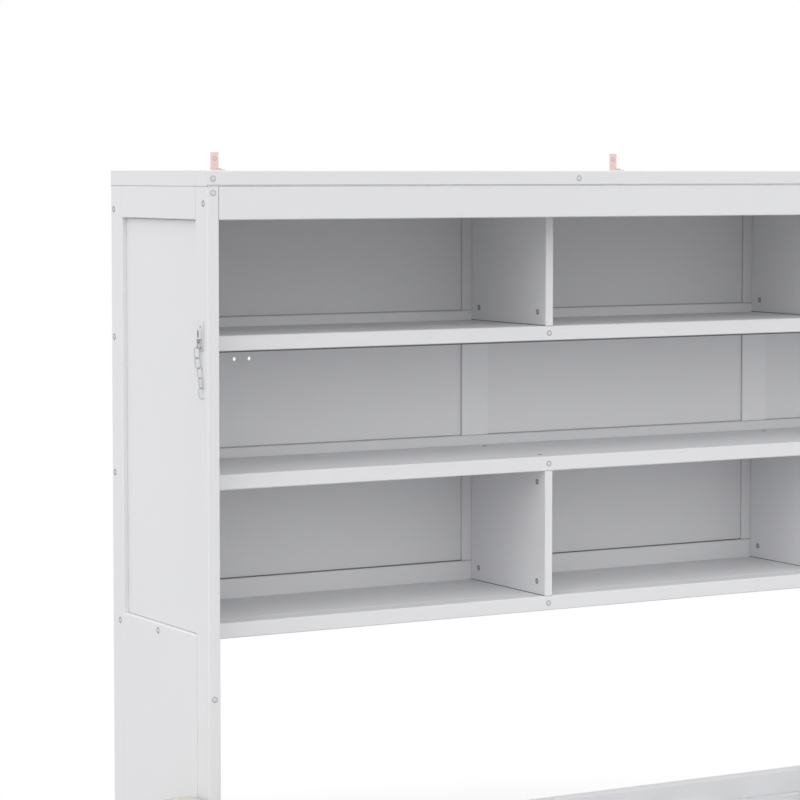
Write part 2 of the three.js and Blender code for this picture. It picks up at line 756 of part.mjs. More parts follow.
// One oval link as a closed round tube. Its path is two half circles and two straights in the plane
// of the unit vectors long and wide; the links touch where one hangs in the next.
function ovalLink(length, middle, long, wide) {
  const steps = 20;
  const sides = 6;
  const r = wireDiameter / 2;
  const bendR = linkWidth / 2 - r;
  const straight = length / 2 - r - bendR;
  const normal = new THREE.Vector3().crossVectors(long, wide).normalize();
  const positions = [];
  const indices = [];
  for (let i = 0; i < steps; i += 1) {
    const angle = (2 * Math.PI * i) / steps;
    const [c, s] = [Math.cos(angle), Math.sin(angle)];
    const end = Math.abs(c) < 1e-9 ? 0 : Math.sign(c);
    const centre = middle.clone().addScaledVector(long, end * straight + bendR * c);
    centre.addScaledVector(wide, bendR * s);
    const out = long.clone().multiplyScalar(c).addScaledVector(wide, s);
    for (let j = 0; j < sides; j += 1) {
      const turn = (2 * Math.PI * j) / sides;
      const point = centre.clone().addScaledVector(out, r * Math.cos(turn));
      point.addScaledVector(normal, r * Math.sin(turn));
      positions.push(point.x, point.y, point.z);
      const [a, b] = [i * sides + j, i * sides + ((j + 1) % sides)];
      const [d, e] = [((i + 1) % steps) * sides + j, ((i + 1) % steps) * sides + ((j + 1) % sides)];
      indices.push(a, d, b, b, d, e);
    }
  }
  const geometry = new THREE.BufferGeometry();
  geometry.setAttribute("position", new THREE.Float32BufferAttribute(positions, 3));
  geometry.setIndex(indices);
  const solid = solidOf(geometry);
  if (solid.volume() > 0) return geometry;
  return geometry.setIndex(indices.map((_, at) => indices[at - (at % 3) + (2 - (at % 3))]));
}

// Safety chain: it hangs from the keeper's eye and leans back against the post.
const linkPitch = linkLength - 2 * wireDiameter + linkBite;
const chainTop = new THREE.Vector3(-eyeU, keeperY, eyeZ);
const chainRun = linkPitch * linkCount;
const chainDown = new THREE.Vector3(chainLean, 0, -chainRun).normalize();
const chain = groupAt(...chainTop, model);
const frontBack = new THREE.Vector3(0, 1, 0);
const outward = new THREE.Vector3().crossVectors(chainDown, frontBack).normalize();
const firstLink = firstLinkLength / 2 - 1.5 * wireDiameter - joint;
const secondLink = firstLink + (firstLinkLength - linkLength) / 2;
const links = Array.from({ length: linkCount }, (_, index) => {
  const along = index === 0 ? firstLink : secondLink + index * linkPitch;
  const middle = chainTop.clone().addScaledVector(chainDown, along);
  const length = index === 0 ? firstLinkLength : linkLength;
  return ovalLink(length, middle, chainDown, index % 2 === 0 ? frontBack : outward);
});
piece("safety_chain", join(...links), chromeSteel, chain);

// A closed upholstered form: a rounded box whose faces swell by their crowns and whose upright
// sides draw in between the corners. Its grid is fine at the corners and even between them.
function paddedForm(x, y, z, radius, crowns, pull, inner) {
  const ranges = [x, y, z];
  const half = ranges.map(([low, high]) => (high - low) / 2);
  const centre = ranges.map(([low, high]) => (high + low) / 2);
  const r = Math.min(radius, ...half.map((size) => size * 0.95));
  const stations = half.map((size, axis) => {
    const flat = size - r;
    const pitch = (2 * flat) / inner[axis];
    const between = Array.from({ length: inner[axis] - 1 }, (_, i) => (i + 1) * pitch - flat);
    const corner = [flat, flat + r * Math.tan(Math.PI / 8), size];
    return [...corner.map((at) => -at).reverse(), ...between, ...corner];
  });
  const positions = [];
  const indices = [];
  const shaped = (at) => {
    const core = at.map((value, axis) => THREE.MathUtils.clamp(value, r - half[axis], half[axis] - r));
    const out = new THREE.Vector3(...at.map((value, axis) => value - core[axis])).setLength(r);
    const on = [core[0] + out.x, core[1] + out.y, core[2] + out.z];
    const share = on.map((value, axis) => value / half[axis]);
    const swell = share.map((value, axis) => {
      const others = [0, 1, 2].filter((other) => other !== axis);
      const spread = others.reduce((product, other) => product * (1 - share[other] ** 2), 1);
      return Math.sign(value) * crowns[axis][value > 0 ? 1 : 0] * spread * Math.abs(value) ** 3;
    });
    const drawn = [pull * share[0] * (1 - share[1] ** 2), pull * share[1] * (1 - share[0] ** 2), 0];
    return on.map((value, axis) => centre[axis] + value + swell[axis] - drawn[axis]);
  };
  for (const axis of [0, 1, 2]) {
    const [u, v] = [(axis + 1) % 3, (axis + 2) % 3];
    for (const face of [-1, 1]) {
      const first = positions.length / 3;
      const [us, vs] = [stations[u], stations[v]];
      us.forEach((uAt) => vs.forEach((vAt) => {
        const at = [0, 0, 0];
        at[axis] = face * half[axis];
        at[u] = uAt;
        at[v] = vAt;
        positions.push(...shaped(at));
      }));
      for (let i = 0; i + 1 < us.length; i += 1) {
        for (let j = 0; j + 1 < vs.length; j += 1) {
          const a = first + i * vs.length + j;
          const [b, c, d] = [a + 1, a + vs.length, a + vs.length + 1];
          if (face > 0) indices.push(a, c, d, a, d, b);
          else indices.push(a, d, c, a, b, d);
        }
      }
    }
  }
  const geometry = new THREE.BufferGeometry();
  geometry.setAttribute("position", new THREE.Float32BufferAttribute(positions, 3));
  geometry.setIndex(indices);
  return geometryOf(solidOf(geometry));
}

// Sofa arms: upholstered boxes outside the cabinet's sides, each on a dark wooden skid.
for (const [sideName, side] of sideNames) {
  const outerCrown = side < 0 ? [armCrown, 0] : [0, armCrown];
  const arm = paddedForm(
    across(side, armInner, armOuter - armCrown),
    [sofaFront + armCrown, armOverlap],
    [armBottom + joint, armTop - armCrown],
    armRadius,
    [outerCrown, [armCrown, 0], [0, armCrown]],
    0,
    [3, 6, 6],
  );
  piece("sofa_arm_" + sideName, arm, linen, sofa);
  const skid = board(
    across(side, armInner + skidInset, armOuter - skidInset),
    [sofaFront + skidEndInset, armOverlap - skidEndInset],
    [0, armBottom],
    "y",
    2,
  );
  piece("sofa_arm_skid_" + sideName, skid, darkWood, sofa);
}

// Seat box: a covered apron in front, a rail behind, two supports and a deck.
const seatHalf = armInner - joint;
const apronFront = sofaFront + cushionOverhang;
const apronBack = apronFront + apronThickness;
const apronSection = roundedRectangle([apronFront, apronBack], [armBottom, seatTop], apronRadius);
piece("sofa_apron", carried(apronSection, "x", -seatHalf, seatHalf), linen, sofa);
const deckY = [apronBack + joint, sofaBack];
const deckZ = [seatTop - deckThickness, seatTop];
piece("sofa_deck", board([-seatHalf, seatHalf], deckY, deckZ, "x"), pine, sofa);
const boxTop = deckZ[0] - joint;
const seatRailFront = sofaBack - stretcherThickness;
piece(
  "sofa_back_rail",
  board([-seatHalf, seatHalf], [seatRailFront, sofaBack], [armBottom, boxTop], "x"),
  pine,
  sofa,
);
for (const [sideName, side] of sideNames) {
  const x = across(side, supportOffset - stretcherThickness / 2, supportOffset + stretcherThickness / 2);
  const support = board(x, [deckY[0], seatRailFront - joint], [0, boxTop], "y");
  piece("sofa_support_" + sideName, support, pine, sofa);
}

// Seat cushions: crowned, with drawn-in sides, flat where they lie on the deck.
const cushionRun = (2 * seatHalf + cushionGap) / cushionCount;
const cushionNames = ["left", "middle", "right"];
for (let index = 0; index < cushionCount; index += 1) {
  const left = index * cushionRun - seatHalf;
  const cushion = paddedForm(
    [left, left + cushionRun - cushionGap],
    [sofaFront, sofaBack - padClearance],
    [seatTop + padClearance, seatTop + cushionHeight],
    cushionRadius,
    [[0, 0], [0, 0], [0, cushionCrown]],
    cushionPull,
    [6, 6, 3],
  );
  piece("seat_cushion_" + cushionNames[index], cushion, linen, sofa);
}

// The part stands on its floor plane, with its origin under the middle of its box.
const frontmost = bedFront - 2 * running - legThickness - legHeadThickness;
model.position.y = -(frontmost + cabinetDepth) / 2;

export default model;
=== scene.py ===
# %% [markdown]
# # A wall bed over a sofa
# The real thing is a white painted bookcase with a bed frame that tilts down in front of it, over a
# sofa with padded arms. The solids come ready made, each in its true place, so this lesson dresses
# them: it gives every board, fitting and cushion its surface, and adds the small parts, such as bolt
# heads, that are too fine for the solids. We load the solids first.

# %% Load the solids
import math

import bpy
import numpy as np
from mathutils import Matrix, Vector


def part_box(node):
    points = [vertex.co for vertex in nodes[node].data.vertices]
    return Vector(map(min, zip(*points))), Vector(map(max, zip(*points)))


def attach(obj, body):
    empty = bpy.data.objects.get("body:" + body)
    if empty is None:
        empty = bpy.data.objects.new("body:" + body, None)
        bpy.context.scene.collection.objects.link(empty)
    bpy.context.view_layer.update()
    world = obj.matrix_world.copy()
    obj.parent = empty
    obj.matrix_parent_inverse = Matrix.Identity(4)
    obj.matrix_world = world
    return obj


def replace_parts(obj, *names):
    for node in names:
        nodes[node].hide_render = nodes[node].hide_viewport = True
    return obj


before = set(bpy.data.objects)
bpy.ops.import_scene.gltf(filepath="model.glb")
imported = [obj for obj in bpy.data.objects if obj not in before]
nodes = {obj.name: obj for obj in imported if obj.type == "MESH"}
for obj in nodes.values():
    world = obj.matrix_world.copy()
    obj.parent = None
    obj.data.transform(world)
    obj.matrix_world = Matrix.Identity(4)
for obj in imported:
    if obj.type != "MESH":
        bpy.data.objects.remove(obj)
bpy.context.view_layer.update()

# %% [markdown]
# The boards' places are read from the solids, never typed in, so that a bolt sits on its board even
# when the board moves. Two small helpers give the lowest and highest corner of a piece, and turn a
# distance from the cabinet's left side, its front plane and its top into a point.

# %% Places on the cabinet
MM = 0.001
top_low, top_high = (np.array(corner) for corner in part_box("top_board"))
front_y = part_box("front_post_left")[0].y
left_x, right_x = top_low[0], top_high[0]
top_z = top_high[2]


def corners(node):
    """Lowest and highest corner of a solid as two arrays."""
    low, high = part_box(node)
    return np.array(low), np.array(high)


def on_cabinet(across, behind, below):
    """A point in metres from millimetres right of the left side, behind the front and below the top."""
    return np.array([left_x + across * MM, front_y + behind * MM, top_z - below * MM])


width_mm = (right_x - left_x) / MM
print("cabinet:", round(width_mm), "mm wide, top at", round(top_z, 4))

# %% [markdown]
# The photograph is a tight crop of the cabinet's top left corner, taken with a long lens from the
# height of the top board: its upper face shows as a line. Upright edges stay parallel, which a camera
# does when it looks level and its lens is shifted. A large shift would throw the object out of the
# frame in every other view, so the shift here is small and the camera looks down by 3.4 degrees. The
# place, heading and lens are the ones that bring the cabinet's corners nearest to the photograph.

# %% Camera
camera_lens = bpy.data.cameras.new("camera")
camera_lens.sensor_width = 36
camera_lens.lens = 130.77
camera_lens.shift_y = -0.07
camera = bpy.data.objects.new("camera", camera_lens)
bpy.context.scene.collection.objects.link(camera)
camera.location = on_cabinet(-2112.0, -4338.7, 4.2)
camera.rotation_euler = (math.radians(90 - 3.368), 0, math.radians(-29.75))
bpy.context.scene.camera = camera
bpy.context.scene.view_settings.view_transform = "Standard"
print("camera at", [round(v, 3) for v in camera.location])

# %% [markdown]
# Every new shape below is a surface worked out with numpy: a grid of points, and a list of faces that
# says which points each face joins. These helpers make the faces of a grid, lay several surfaces
# into one list, and put the result into Blender in one go.


# %% Meshes from arrays
def grid_faces(rows, columns, close_rows=False, close_columns=False):
    """Faces of a grid: corners (i, j), (i, j + 1), (i + 1, j + 1) and (i + 1, j), wrapped where closed."""
    i = np.arange(rows if close_rows else rows - 1)[:, None]
    j = np.arange(columns if close_columns else columns - 1)[None, :]
    following_i, following_j = (i + 1) % rows, (j + 1) % columns
    loop = [i * columns + j, i * columns + following_j]
    loop += [following_i * columns + following_j, following_i * columns + j]
    return np.stack([np.broadcast_to(part, (i.size, j.size)) for part in loop], axis=-1).reshape(-1, 4)


def together(surfaces):
    """Several (points, lists of faces) as one: face numbers grow by the points laid down before."""
    starts = np.cumsum([0] + [len(points) for points, _ in surfaces[:-1]])
    points = np.concatenate([points for points, _ in surfaces])
    return points, [faces + start for (_, parts), start in zip(surfaces, starts) for faces in parts]


def fan(ring, pole, turned_over=False):
    """Triangles from each edge of a closed ring of points to a pole."""
    following = np.roll(ring, -1)
    corners_of = (following, ring) if turned_over else (ring, following)
    return np.stack([*corners_of, np.full(len(ring), pole)], axis=-1)


def placed(name, data):
    """A new object with this data, linked into the scene."""
    thing = bpy.data.objects.new(name, data)
    bpy.context.scene.collection.objects.link(thing)
    return thing


def make_piece(name, surface, body, material, sharp=35):
    """Puts a surface into a mesh object, smooth except where two faces meet at more than sharp degrees."""
    points, parts = surface
    faces = [face for part in parts for face in part.tolist()]
    mesh = bpy.data.meshes.new(name)
    mesh.from_pydata(points.reshape(-1, 3), [], faces)
    mesh.validate()
    mesh.shade_smooth()
    mesh.set_sharp_from_angle(angle=math.radians(sharp))
    mesh.materials.append(material)
    piece = placed(name, mesh)
    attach(piece, body)
    print(name, len(points), "points,", len(faces), "faces")
    return piece


# %% [markdown]
# ## Finishes
# A finish is a shader with a few procedural layers: large soft clouds that shift the colour by a
# percent or two, as on any painted or woven surface, and fine grain that roughens it. The layers read
# Object coordinates, which are metres on the real thing, so a weave of 1.4 mm is a weave of 1.4 mm.
# These helpers keep each finish down to a few lines.


# %% Shader helpers
def new_finish(name, roughness, metallic=0.0):
    """A material with its Principled shader, and the object's own coordinates."""
    material = bpy.data.materials.new(name)
    material.use_nodes = True
    tree = material.node_tree
    shader = tree.nodes["Principled BSDF"]
    shader.inputs["Roughness"].default_value = roughness
    shader.inputs["Metallic"].default_value = metallic
    place = tree.nodes.new("ShaderNodeTexCoord").outputs["Object"]
    return material, tree, shader, place


def fill(tree, socket, value):
    """Links an input to another node's output, or gives it a number or colour."""
    if isinstance(value, bpy.types.NodeSocket):
        tree.links.new(value, socket)
    else:
        socket.default_value = value


def wired(tree, kind, inputs, **choices):
    """A new shader node with its choices made and its inputs, by name or number, filled."""
    node = tree.nodes.new("ShaderNode" + kind)
    for name, choice in choices.items():
        setattr(node, name, choice)
    for at, value in inputs.items():
        fill(tree, node.inputs[at], value)
    return node


def stretched(tree, place, scale):
    """The coordinates times a scale along each axis, which draws a pattern out along the smallest."""
    return wired(tree, "Mapping", {"Vector": place, "Scale": scale}).outputs["Vector"]


def cloud(tree, place, scale, detail=3.0, roughness=0.5):
    """Smooth noise from 0 to 1 with about scale blobs to the metre."""
    inputs = {"Vector": place, "Scale": scale, "Detail": detail, "Roughness": roughness}
    return wired(tree, "TexNoise", inputs).outputs["Fac"]


def spread(tree, value, low, high, to_low=0.0, to_high=1.0):
    """Stretches the part of a value from low to high over to_low to to_high."""
    ends = {"Value": value, "From Min": low, "From Max": high, "To Min": to_low, "To Max": to_high}
    return wired(tree, "MapRange", ends).outputs["Result"]


def between(tree, factor, first, second):
    """A colour that runs from first to second as factor goes from 0 to 1. Either may be a socket."""
    node = wired(tree, "Mix", {"Factor": factor}, data_type="RGBA")
    for name, colour in (("A", first), ("B", second)):
        target = next(s for s in node.inputs if s.name == name and s.type == "RGBA")
        fill(tree, target, (*colour, 1) if isinstance(colour, tuple) else colour)
    return next(s for s in node.outputs if s.type == "RGBA")


def calculate(tree, operation, *values):
    """One step of arithmetic on one or two sockets or numbers."""
    return wired(tree, "Math", dict(enumerate(values)), operation=operation).outputs["Value"]


def part_of(tree, vector, axis):
    """One coordinate, X, Y or Z, of a vector."""
    return wired(tree, "SeparateXYZ", {"Vector": vector}).outputs[axis]


def bumped(tree, shader, height, distance, strength):
    """Tilts the shading as if the surface stood up by height times distance."""
    bump = wired(tree, "Bump", {"Height": height, "Distance": distance, "Strength": strength})
    tree.links.new(bump.outputs["Normal"], shader.inputs["Normal"])


# %% [markdown]
# The boards are pine under white satin paint, very slightly cool. Rolled paint isn't perfectly flat:
# it keeps the roller's orange peel, a couple of millimetres across, and the grain below shows as
# long soft ridges. The colour hardly changes, so the white comes from one value and the layers stay
# within two percent of it. Painted shade and light then set some whites apart from it. A shelf's upper
# face is a tenth darker by how far it faces up. The shelves and dividers are a little whiter than the
# posts, to lift them where they stand back in shade. The three back panels are three sheets whose whites
# are painted darker or lighter for how much light reaches each row. The middle one's battens, which
# stand in front of the sheet, are painted a shade paler, as light on what stands forward.


# %% Paint
def paint(name, white, grain_scale, up_facing_shade=0.0, proud=None):
    """White paint: two close whites mixed by soft clouds, with orange peel and long faint grain. Faces
    that look up are painted darker by the given share, a painted shade. What stands in front of the place
    proud is painted paler, a painted light."""
    material, tree, shader, place = new_finish(name, 0.5)
    soft = cloud(tree, place, 2.2, 2.0)
    colour, shade = (tuple(white * share * tint for tint in (1, 1.004, 1.03)) for share in (1, 0.983))
    colour_socket = between(tree, spread(tree, soft, 0.35, 0.65), shade, colour)
    # Painted shade: faces that look up take a darker white.
    if up_facing_shade:
        normal = tree.nodes.new("ShaderNodeNewGeometry").outputs["Normal"]
        shaded_top_colour = tuple(part * (1 - up_facing_shade) for part in colour)
        facing_up = spread(tree, part_of(tree, normal, "Z"), 0.5, 0.95)
        colour_socket = between(tree, facing_up, colour_socket, shaded_top_colour)
    # Painted light: what stands in front of proud, such as a batten, is paler.
    if proud:
        pale = tuple(1.035 * part for part in colour)
        edge = 0.5 * MM
        ahead = spread(tree, part_of(tree, place, "Y"), proud - edge, proud + edge, 1.0, 0.0)
        colour_socket = between(tree, ahead, colour_socket, pale)
    tree.links.new(colour_socket, shader.inputs["Base Color"])
    gloss = cloud(tree, place, 9.0, 3.0)
    tree.links.new(spread(tree, gloss, 0.3, 0.7, 0.46, 0.56), shader.inputs["Roughness"])
    shader.inputs["Specular IOR Level"].default_value = 0.12
    peel = cloud(tree, place, 420.0, 2.0)
    grain = cloud(tree, stretched(tree, place, grain_scale), 60.0, 4.0, 0.6)
    bumped(tree, shader, calculate(tree, "ADD", peel, grain), 0.00012, 0.6)
    return material


along_x, along_y, upright = (0.05, 1, 1), (1, 0.05, 1), (1, 1, 0.05)
paint_along_x = paint("white_paint_along_x", 0.744, along_x)
paint_along_y = paint("white_paint_along_y", 0.744, along_y)
paint_upright = paint("white_paint_upright", 0.744, upright)
# Painted light: shelves and dividers take a whiter paint than the posts to lift them where they stand back
# in shade.
shelf_paint = paint("white_shelf_paint", 0.758, along_x, 0.1)
divider_paint = paint("white_divider_paint", 0.758, upright)
panel_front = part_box("back_panel_row_2")[0].y
# Painted shade and light: each row's sheet takes a white painted darker or lighter for how much light
# reaches that row.
panel_paints = [
    paint("white_panel_paint_1", 0.685, (0.4, 1, 1)),
    paint("white_panel_paint_2", 0.778, (0.4, 1, 1), proud=panel_front + 2 * MM),
    paint("white_panel_paint_3", 0.72, (0.4, 1, 1)),
]
print("paint: three directions of grain, the shelves and the thin panels")

# %% [markdown]
# Bare pine shows only where nobody looks, in the box under the sofa's seat. Its rings are a wave that
# noise bends, drawn out along the board, with darker late wood. Each direction of grain is a finish of
# its own.


# %% Pine
def pine(name, scale):
    """Planed pine: growth rings from a bent wave, fine pores, and a slow drift of tone."""
    material, tree, shader, place = new_finish(name, 0.62)
    wave = {"Vector": stretched(tree, place, scale), "Scale": 26.0}
    wave.update({"Distortion": 5.0, "Detail": 3.0, "Detail Scale": 1.4})
    rings = wired(tree, "TexWave", wave, wave_type="RINGS", rings_direction="SPHERICAL").outputs["Fac"]
    tone = between(tree, rings, (0.66, 0.47, 0.28), (0.78, 0.62, 0.42))
    pores = cloud(tree, stretched(tree, place, tuple(8 * s for s in scale)), 90.0, 4.0, 0.7)
    drift = between(tree, spread(tree, pores, 0.35, 0.7), (0.6, 0.42, 0.24), tone)
    tree.links.new(drift, shader.inputs["Base Color"])
    bumped(tree, shader, calculate(tree, "ADD", pores, rings), 0.0002, 0.5)
    return material


pine_along_x = pine("pine_along_x", (0.06, 1, 1))
pine_along_y = pine("pine_along_y", (1, 0.06, 1))

# %% [markdown]
# Steel fittings come in three coats: bright zinc on the pivots and the pull, chrome on the door
# chain, and a thin pink-tinted coat on the wall brackets, which is what the photograph shows. Metal
# takes its look from what it mirrors, so only its roughness varies, in fine streaks and spots. The same
# recipe without metal gives rubber and dark wood. It also gives the greys of painted shade: darker and
# lighter greys for the shadow in drilled seats, the keeper's slot and the joints, and a pale grey for the
# shade beside a batten. A darker pink serves the bracket screws and, as painted shade, the rings round
# the pink heads.


# %% Metals, rubber and dark wood
def steel(name, colour, roughness, metallic=1.0, spots=300.0, dull=0.12):
    """Plated steel: one colour, with a roughness that rises by dull in fine spots."""
    material, tree, shader, place = new_finish(name, roughness, metallic)
    shader.inputs["Base Color"].default_value = (*colour, 1)
    mottled = cloud(tree, place, spots, 3.0, 0.6)
    uneven = spread(tree, mottled, 0.35, 0.7, roughness, roughness + dull)
    tree.links.new(uneven, shader.inputs["Roughness"])
    bumped(tree, shader, mottled, 0.00003, 0.5)
    return material


zinc = steel("zinc_plate", (0.70, 0.71, 0.73), 0.28)
chrome = steel("bright_chrome", (0.55, 0.56, 0.58), 0.16, spots=180.0, dull=0.06)
keeper_steel = steel("satin_chrome", (0.68, 0.683, 0.695), 0.35, metallic=0.25, spots=180.0, dull=0.06)
pink_coat = steel("pink_tinted_coat", (0.765, 0.59, 0.583), 0.42, metallic=0.15, spots=240.0)
pink_screws_and_seat_shade = steel("pink_tinted_screws_and_seat_shade", (0.56, 0.45, 0.425), 0.42, metallic=0.15, spots=240.0)
bolt_steel = steel("bolt_heads", (0.68, 0.683, 0.70), 0.34, metallic=0.25)
dark_steel = steel("oiled_steel", (0.16, 0.16, 0.17), 0.4, metallic=0.5)
# Painted shade: the greys below stand for the shadow in seats, the keeper's slot and joints, the pale one
# for the shade beside a batten.
painted_grey_seat_shade, painted_dark_seat_shade, painted_slot_shade, painted_dark_joint_shadow, painted_deep_joint_shade, painted_grey_joint_shade, painted_pale_batten_shade = (
    steel(name, (grey, grey, blue), 0.8, metallic=0.0)
    for name, grey, blue in (
        ("seat_rings_painted_shade", 0.44, 0.455),
        ("deep_seat_rings_painted_shade", 0.27, 0.28),
        ("keeper_slot_painted_shade", 0.2, 0.21),
        ("joint_lines_painted_shadow", 0.1, 0.107),
        ("deep_joint_lines_painted_shade", 0.18, 0.185),
        ("grey_joint_lines_painted_shade", 0.42, 0.43),
        ("shaded_corners", 0.62, 0.64),
    )
)
rubber = steel("grey_rubber", (0.16, 0.16, 0.16), 0.75, metallic=0.0, spots=700.0)
dark_wood = steel("dark_stained_wood", (0.06, 0.035, 0.022), 0.45, metallic=0.0, spots=60.0)

# %% [markdown]
# The sofa is covered in beige linen. Its weave crosses at 1.4 mm, too fine to model and too regular
# for noise, so it is worked out from sines: sin(ky) sin(kz) on a face across x, and so on, added up so
# that every face gets the two that lie in it. Slubs, thicker threads, break it up, and a little sheen
# makes the cloth brighten towards its edges, as fine hairs do.


# %% Linen
def linen(name, light, dark):
    """Woven cloth: crossed threads from sines of the coordinates, slubs from stretched noise, sheen."""
    material, tree, shader, place = new_finish(name, 0.9)
    per_metre = 2 * math.pi / (1.4 * MM)
    turns = [calculate(tree, "MULTIPLY", part_of(tree, place, axis), per_metre) for axis in "XYZ"]
    waves = [calculate(tree, "SINE", angle) for angle in turns]
    pairs = [calculate(tree, "MULTIPLY", waves[i], waves[(i + 1) % 3]) for i in range(3)]
    weave = calculate(tree, "ADD", calculate(tree, "ADD", pairs[0], pairs[1]), pairs[2])
    slubs = cloud(tree, stretched(tree, place, (1, 1, 0.12)), 420.0, 2.0, 0.6)
    threads = calculate(tree, "ADD", calculate(tree, "MULTIPLY", weave, 0.16), slubs)
    worn = cloud(tree, place, 7.0, 3.0)
    base = between(tree, spread(tree, worn, 0.3, 0.7), tuple(0.95 * c for c in light), light)
    colour = between(tree, spread(tree, threads, 0.15, 0.62), dark, base)
    tree.links.new(colour, shader.inputs["Base Color"])
    shader.inputs["Sheen Weight"].default_value = 0.25
    shader.inputs["Sheen Roughness"].default_value = 0.5
    shader.inputs["Specular IOR Level"].default_value = 0.2
    bumped(tree, shader, threads, 0.0004, 0.7)
    return material


cloth = linen("beige_linen", (0.585, 0.565, 0.52), (0.47, 0.45, 0.40))
piping_cloth = linen("linen_piping", (0.53, 0.51, 0.465), (0.42, 0.40, 0.355))

# %% [markdown]
# Now each solid gets its finish by name. A board's grain runs along its length, so the list is
# sorted by direction: posts stand upright, side rails run to the back, and the rest runs across.

# %% Finishes on the solids
sides = ("left", "right")
finish_of = {
    paint_upright: ["front_post_*", "rear_post_*", "side_panel_*", "bed_leg_*", "side_lower_board_*"],
    divider_paint: ["divider_top_*", "divider_bottom_*"],
    shelf_paint: ["shelf_1", "shelf_2", "shelf_3"],
    **{finish: [f"back_panel_row_{row}"] for row, finish in enumerate(panel_paints, 1)},
    paint_along_y: ["side_top_rail_*", "bed_end_rail_*", "bed_slat_base"],
    paint_along_x: ["top_front_beam", "top_board", "front_top_rail"]
    + ["back_top_rail", "back_rail_1", "back_rail_2", "back_rail_3", "rear_stretcher"]
    + ["bed_front_rail", "bed_rear_rail", "bed_face_panel"],
    pine_along_y: ["sofa_support_*"],
    pine_along_x: ["sofa_deck", "sofa_back_rail"],
    zinc: ["pivot_plate_*", "pivot_ear_*", "bed_pull"],
    pink_coat: ["wall_bracket_left", "wall_bracket_middle", "wall_bracket_right"],
    chrome: ["safety_chain"],
    keeper_steel: ["chain_keeper", "chain_catch"],
    rubber: ["bed_stop_strip"],
    dark_wood: ["sofa_arm_skid_*"],
    cloth: ["sofa_arm_*", "sofa_apron"] + [f"seat_cushion_{at}" for at in ("left", "middle", "right")],
}
for finish, names in finish_of.items():
    for name in names:
        for node in [name.replace("*", side) for side in sides] if "*" in name else [name]:
            for material_slot in nodes[node].material_slots:
                material_slot.material = finish
print("finishes on", len(nodes), "solids")

# %% [markdown]
# ## Joints
# Boards never meet without a trace. A grey line runs over each back rail, where the thin panel stands
# in its groove, others beside each batten and under the top, and one under each divider and side rail.
# These lines are painted shade. Dark and grey strips stand for the shadow in a slit, at the foot of a
# step, in the corner where a divider meets its shelf and under the first shelf's front edge. A pale
# strip beside each batten stands for the shade the batten casts on the sheet. Real joints are open slits,
# through which light would leak from behind, so each slit here holds a strip: a bar with cut corners,
# carried along the joint. A dark strip reads as a deep gap, and a white one closes the hair line between
# a post and its rail as a coat of paint does.


# %% Strips in the joints
def strip(low, high):
    """A bar with cut corners: eight points round the box's longest side, laid at both ends, and capped."""
    low, high = np.asarray(low, float), np.asarray(high, float)
    long = int(np.argmax(high - low))
    u, v = (long + 1) % 3, (long + 2) % 3
    middle, half = (low + high) / 2, (high - low) / 2
    cut = 0.3 * min(half[u], half[v])
    across = np.array([half[u], half[u] - cut, cut - half[u], -half[u]])
    upward = np.array([half[v] - cut, half[v], half[v], half[v] - cut])
    points = np.empty((2, 8, 3))
    points[..., u] = middle[u] + np.concatenate([across, -across])
    points[..., v] = middle[v] + np.concatenate([upward, -upward])
    points[..., long] = middle[long] + half[long] * np.array([[-1], [1]])
    caps = [np.arange(8)[None, ::-1], np.arange(8, 16)[None]]
    return points.reshape(-1, 3), [grid_faces(2, 8, close_columns=True), *caps]


def strips(name, boxes, material, body="cabinet"):
    """One piece from a strip in each box."""
    make_piece(name, together([strip(low, high) for low, high in boxes]), body, material)


battens = [(a[0] + b[0]) / 2 for a, b in map(corners, ["divider_top_left", "divider_top_right"])]
# Painted shade: along each back row, grey or dark strips lie in the slit over the rail, at the sheet's foot
# and under the rail above. Dark ones lie at the batten edges and pale ones beside the battens.
dark_lines, hidden_lines, pale_lines = [], [], []
for row, above, wide, joint in (
    (1, "back_top_rail", 0.4 * MM, painted_grey_joint_shade),
    (2, "back_rail_1", 0.7 * MM, painted_grey_joint_shade),
    (3, "back_rail_2", 0.4 * MM, painted_deep_joint_shade),
):
    low, high = corners(f"back_panel_row_{row}")
    rail_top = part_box(f"back_rail_{row}")[1].z
    sheet = low[1] + 4 * MM
    slit = ([low[0], low[1] + 0.2 * MM, rail_top], [high[0], high[1], low[2]])
    foot = ([low[0], sheet - 0.3 * MM, low[2]], [high[0], sheet + 0.5 * MM, low[2] + 0.8 * MM])
    strips(f"shade_lines_of_row_{row}", [slit, foot], joint)
    hidden_lines.append(([low[0], sheet + 0.2 * MM, high[2]], [high[0], high[1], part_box(above)[0].z]))
    for edge in (*[x - 28.5 * MM for x in battens], high[0] - 57 * MM):
        dark_lines.append(([edge - wide, sheet - 0.2 * MM, low[2]], [edge, sheet + 0.3 * MM, high[2]]))
    for edge in [x + 28.5 * MM for x in battens]:
        pale_lines.append(([edge, sheet - 0.2 * MM, low[2]], [edge + 2.4 * MM, sheet + 0.3 * MM, high[2]]))
shelf_boxes = [corners(f"shelf_{row}") for row in (1, 2, 3)]
# Painted shadow: a dark line where each divider stands on its shelf, and along its front foot.
for name, shelf in (("divider_top", 0), ("divider_bottom", 2)):
    level = shelf_boxes[shelf][1][2]
    for side in sides:
        low, high = corners(f"{name}_{side}")
        dark_lines.append(([low[0] - 0.6 * MM, low[1] + MM, level], [low[0], high[1], level + 1.1 * MM]))
        foot = ([low[0], low[1] - 0.1 * MM, level], [high[0], low[1] + 0.4 * MM, level + 0.3 * MM])
        dark_lines.append(foot)
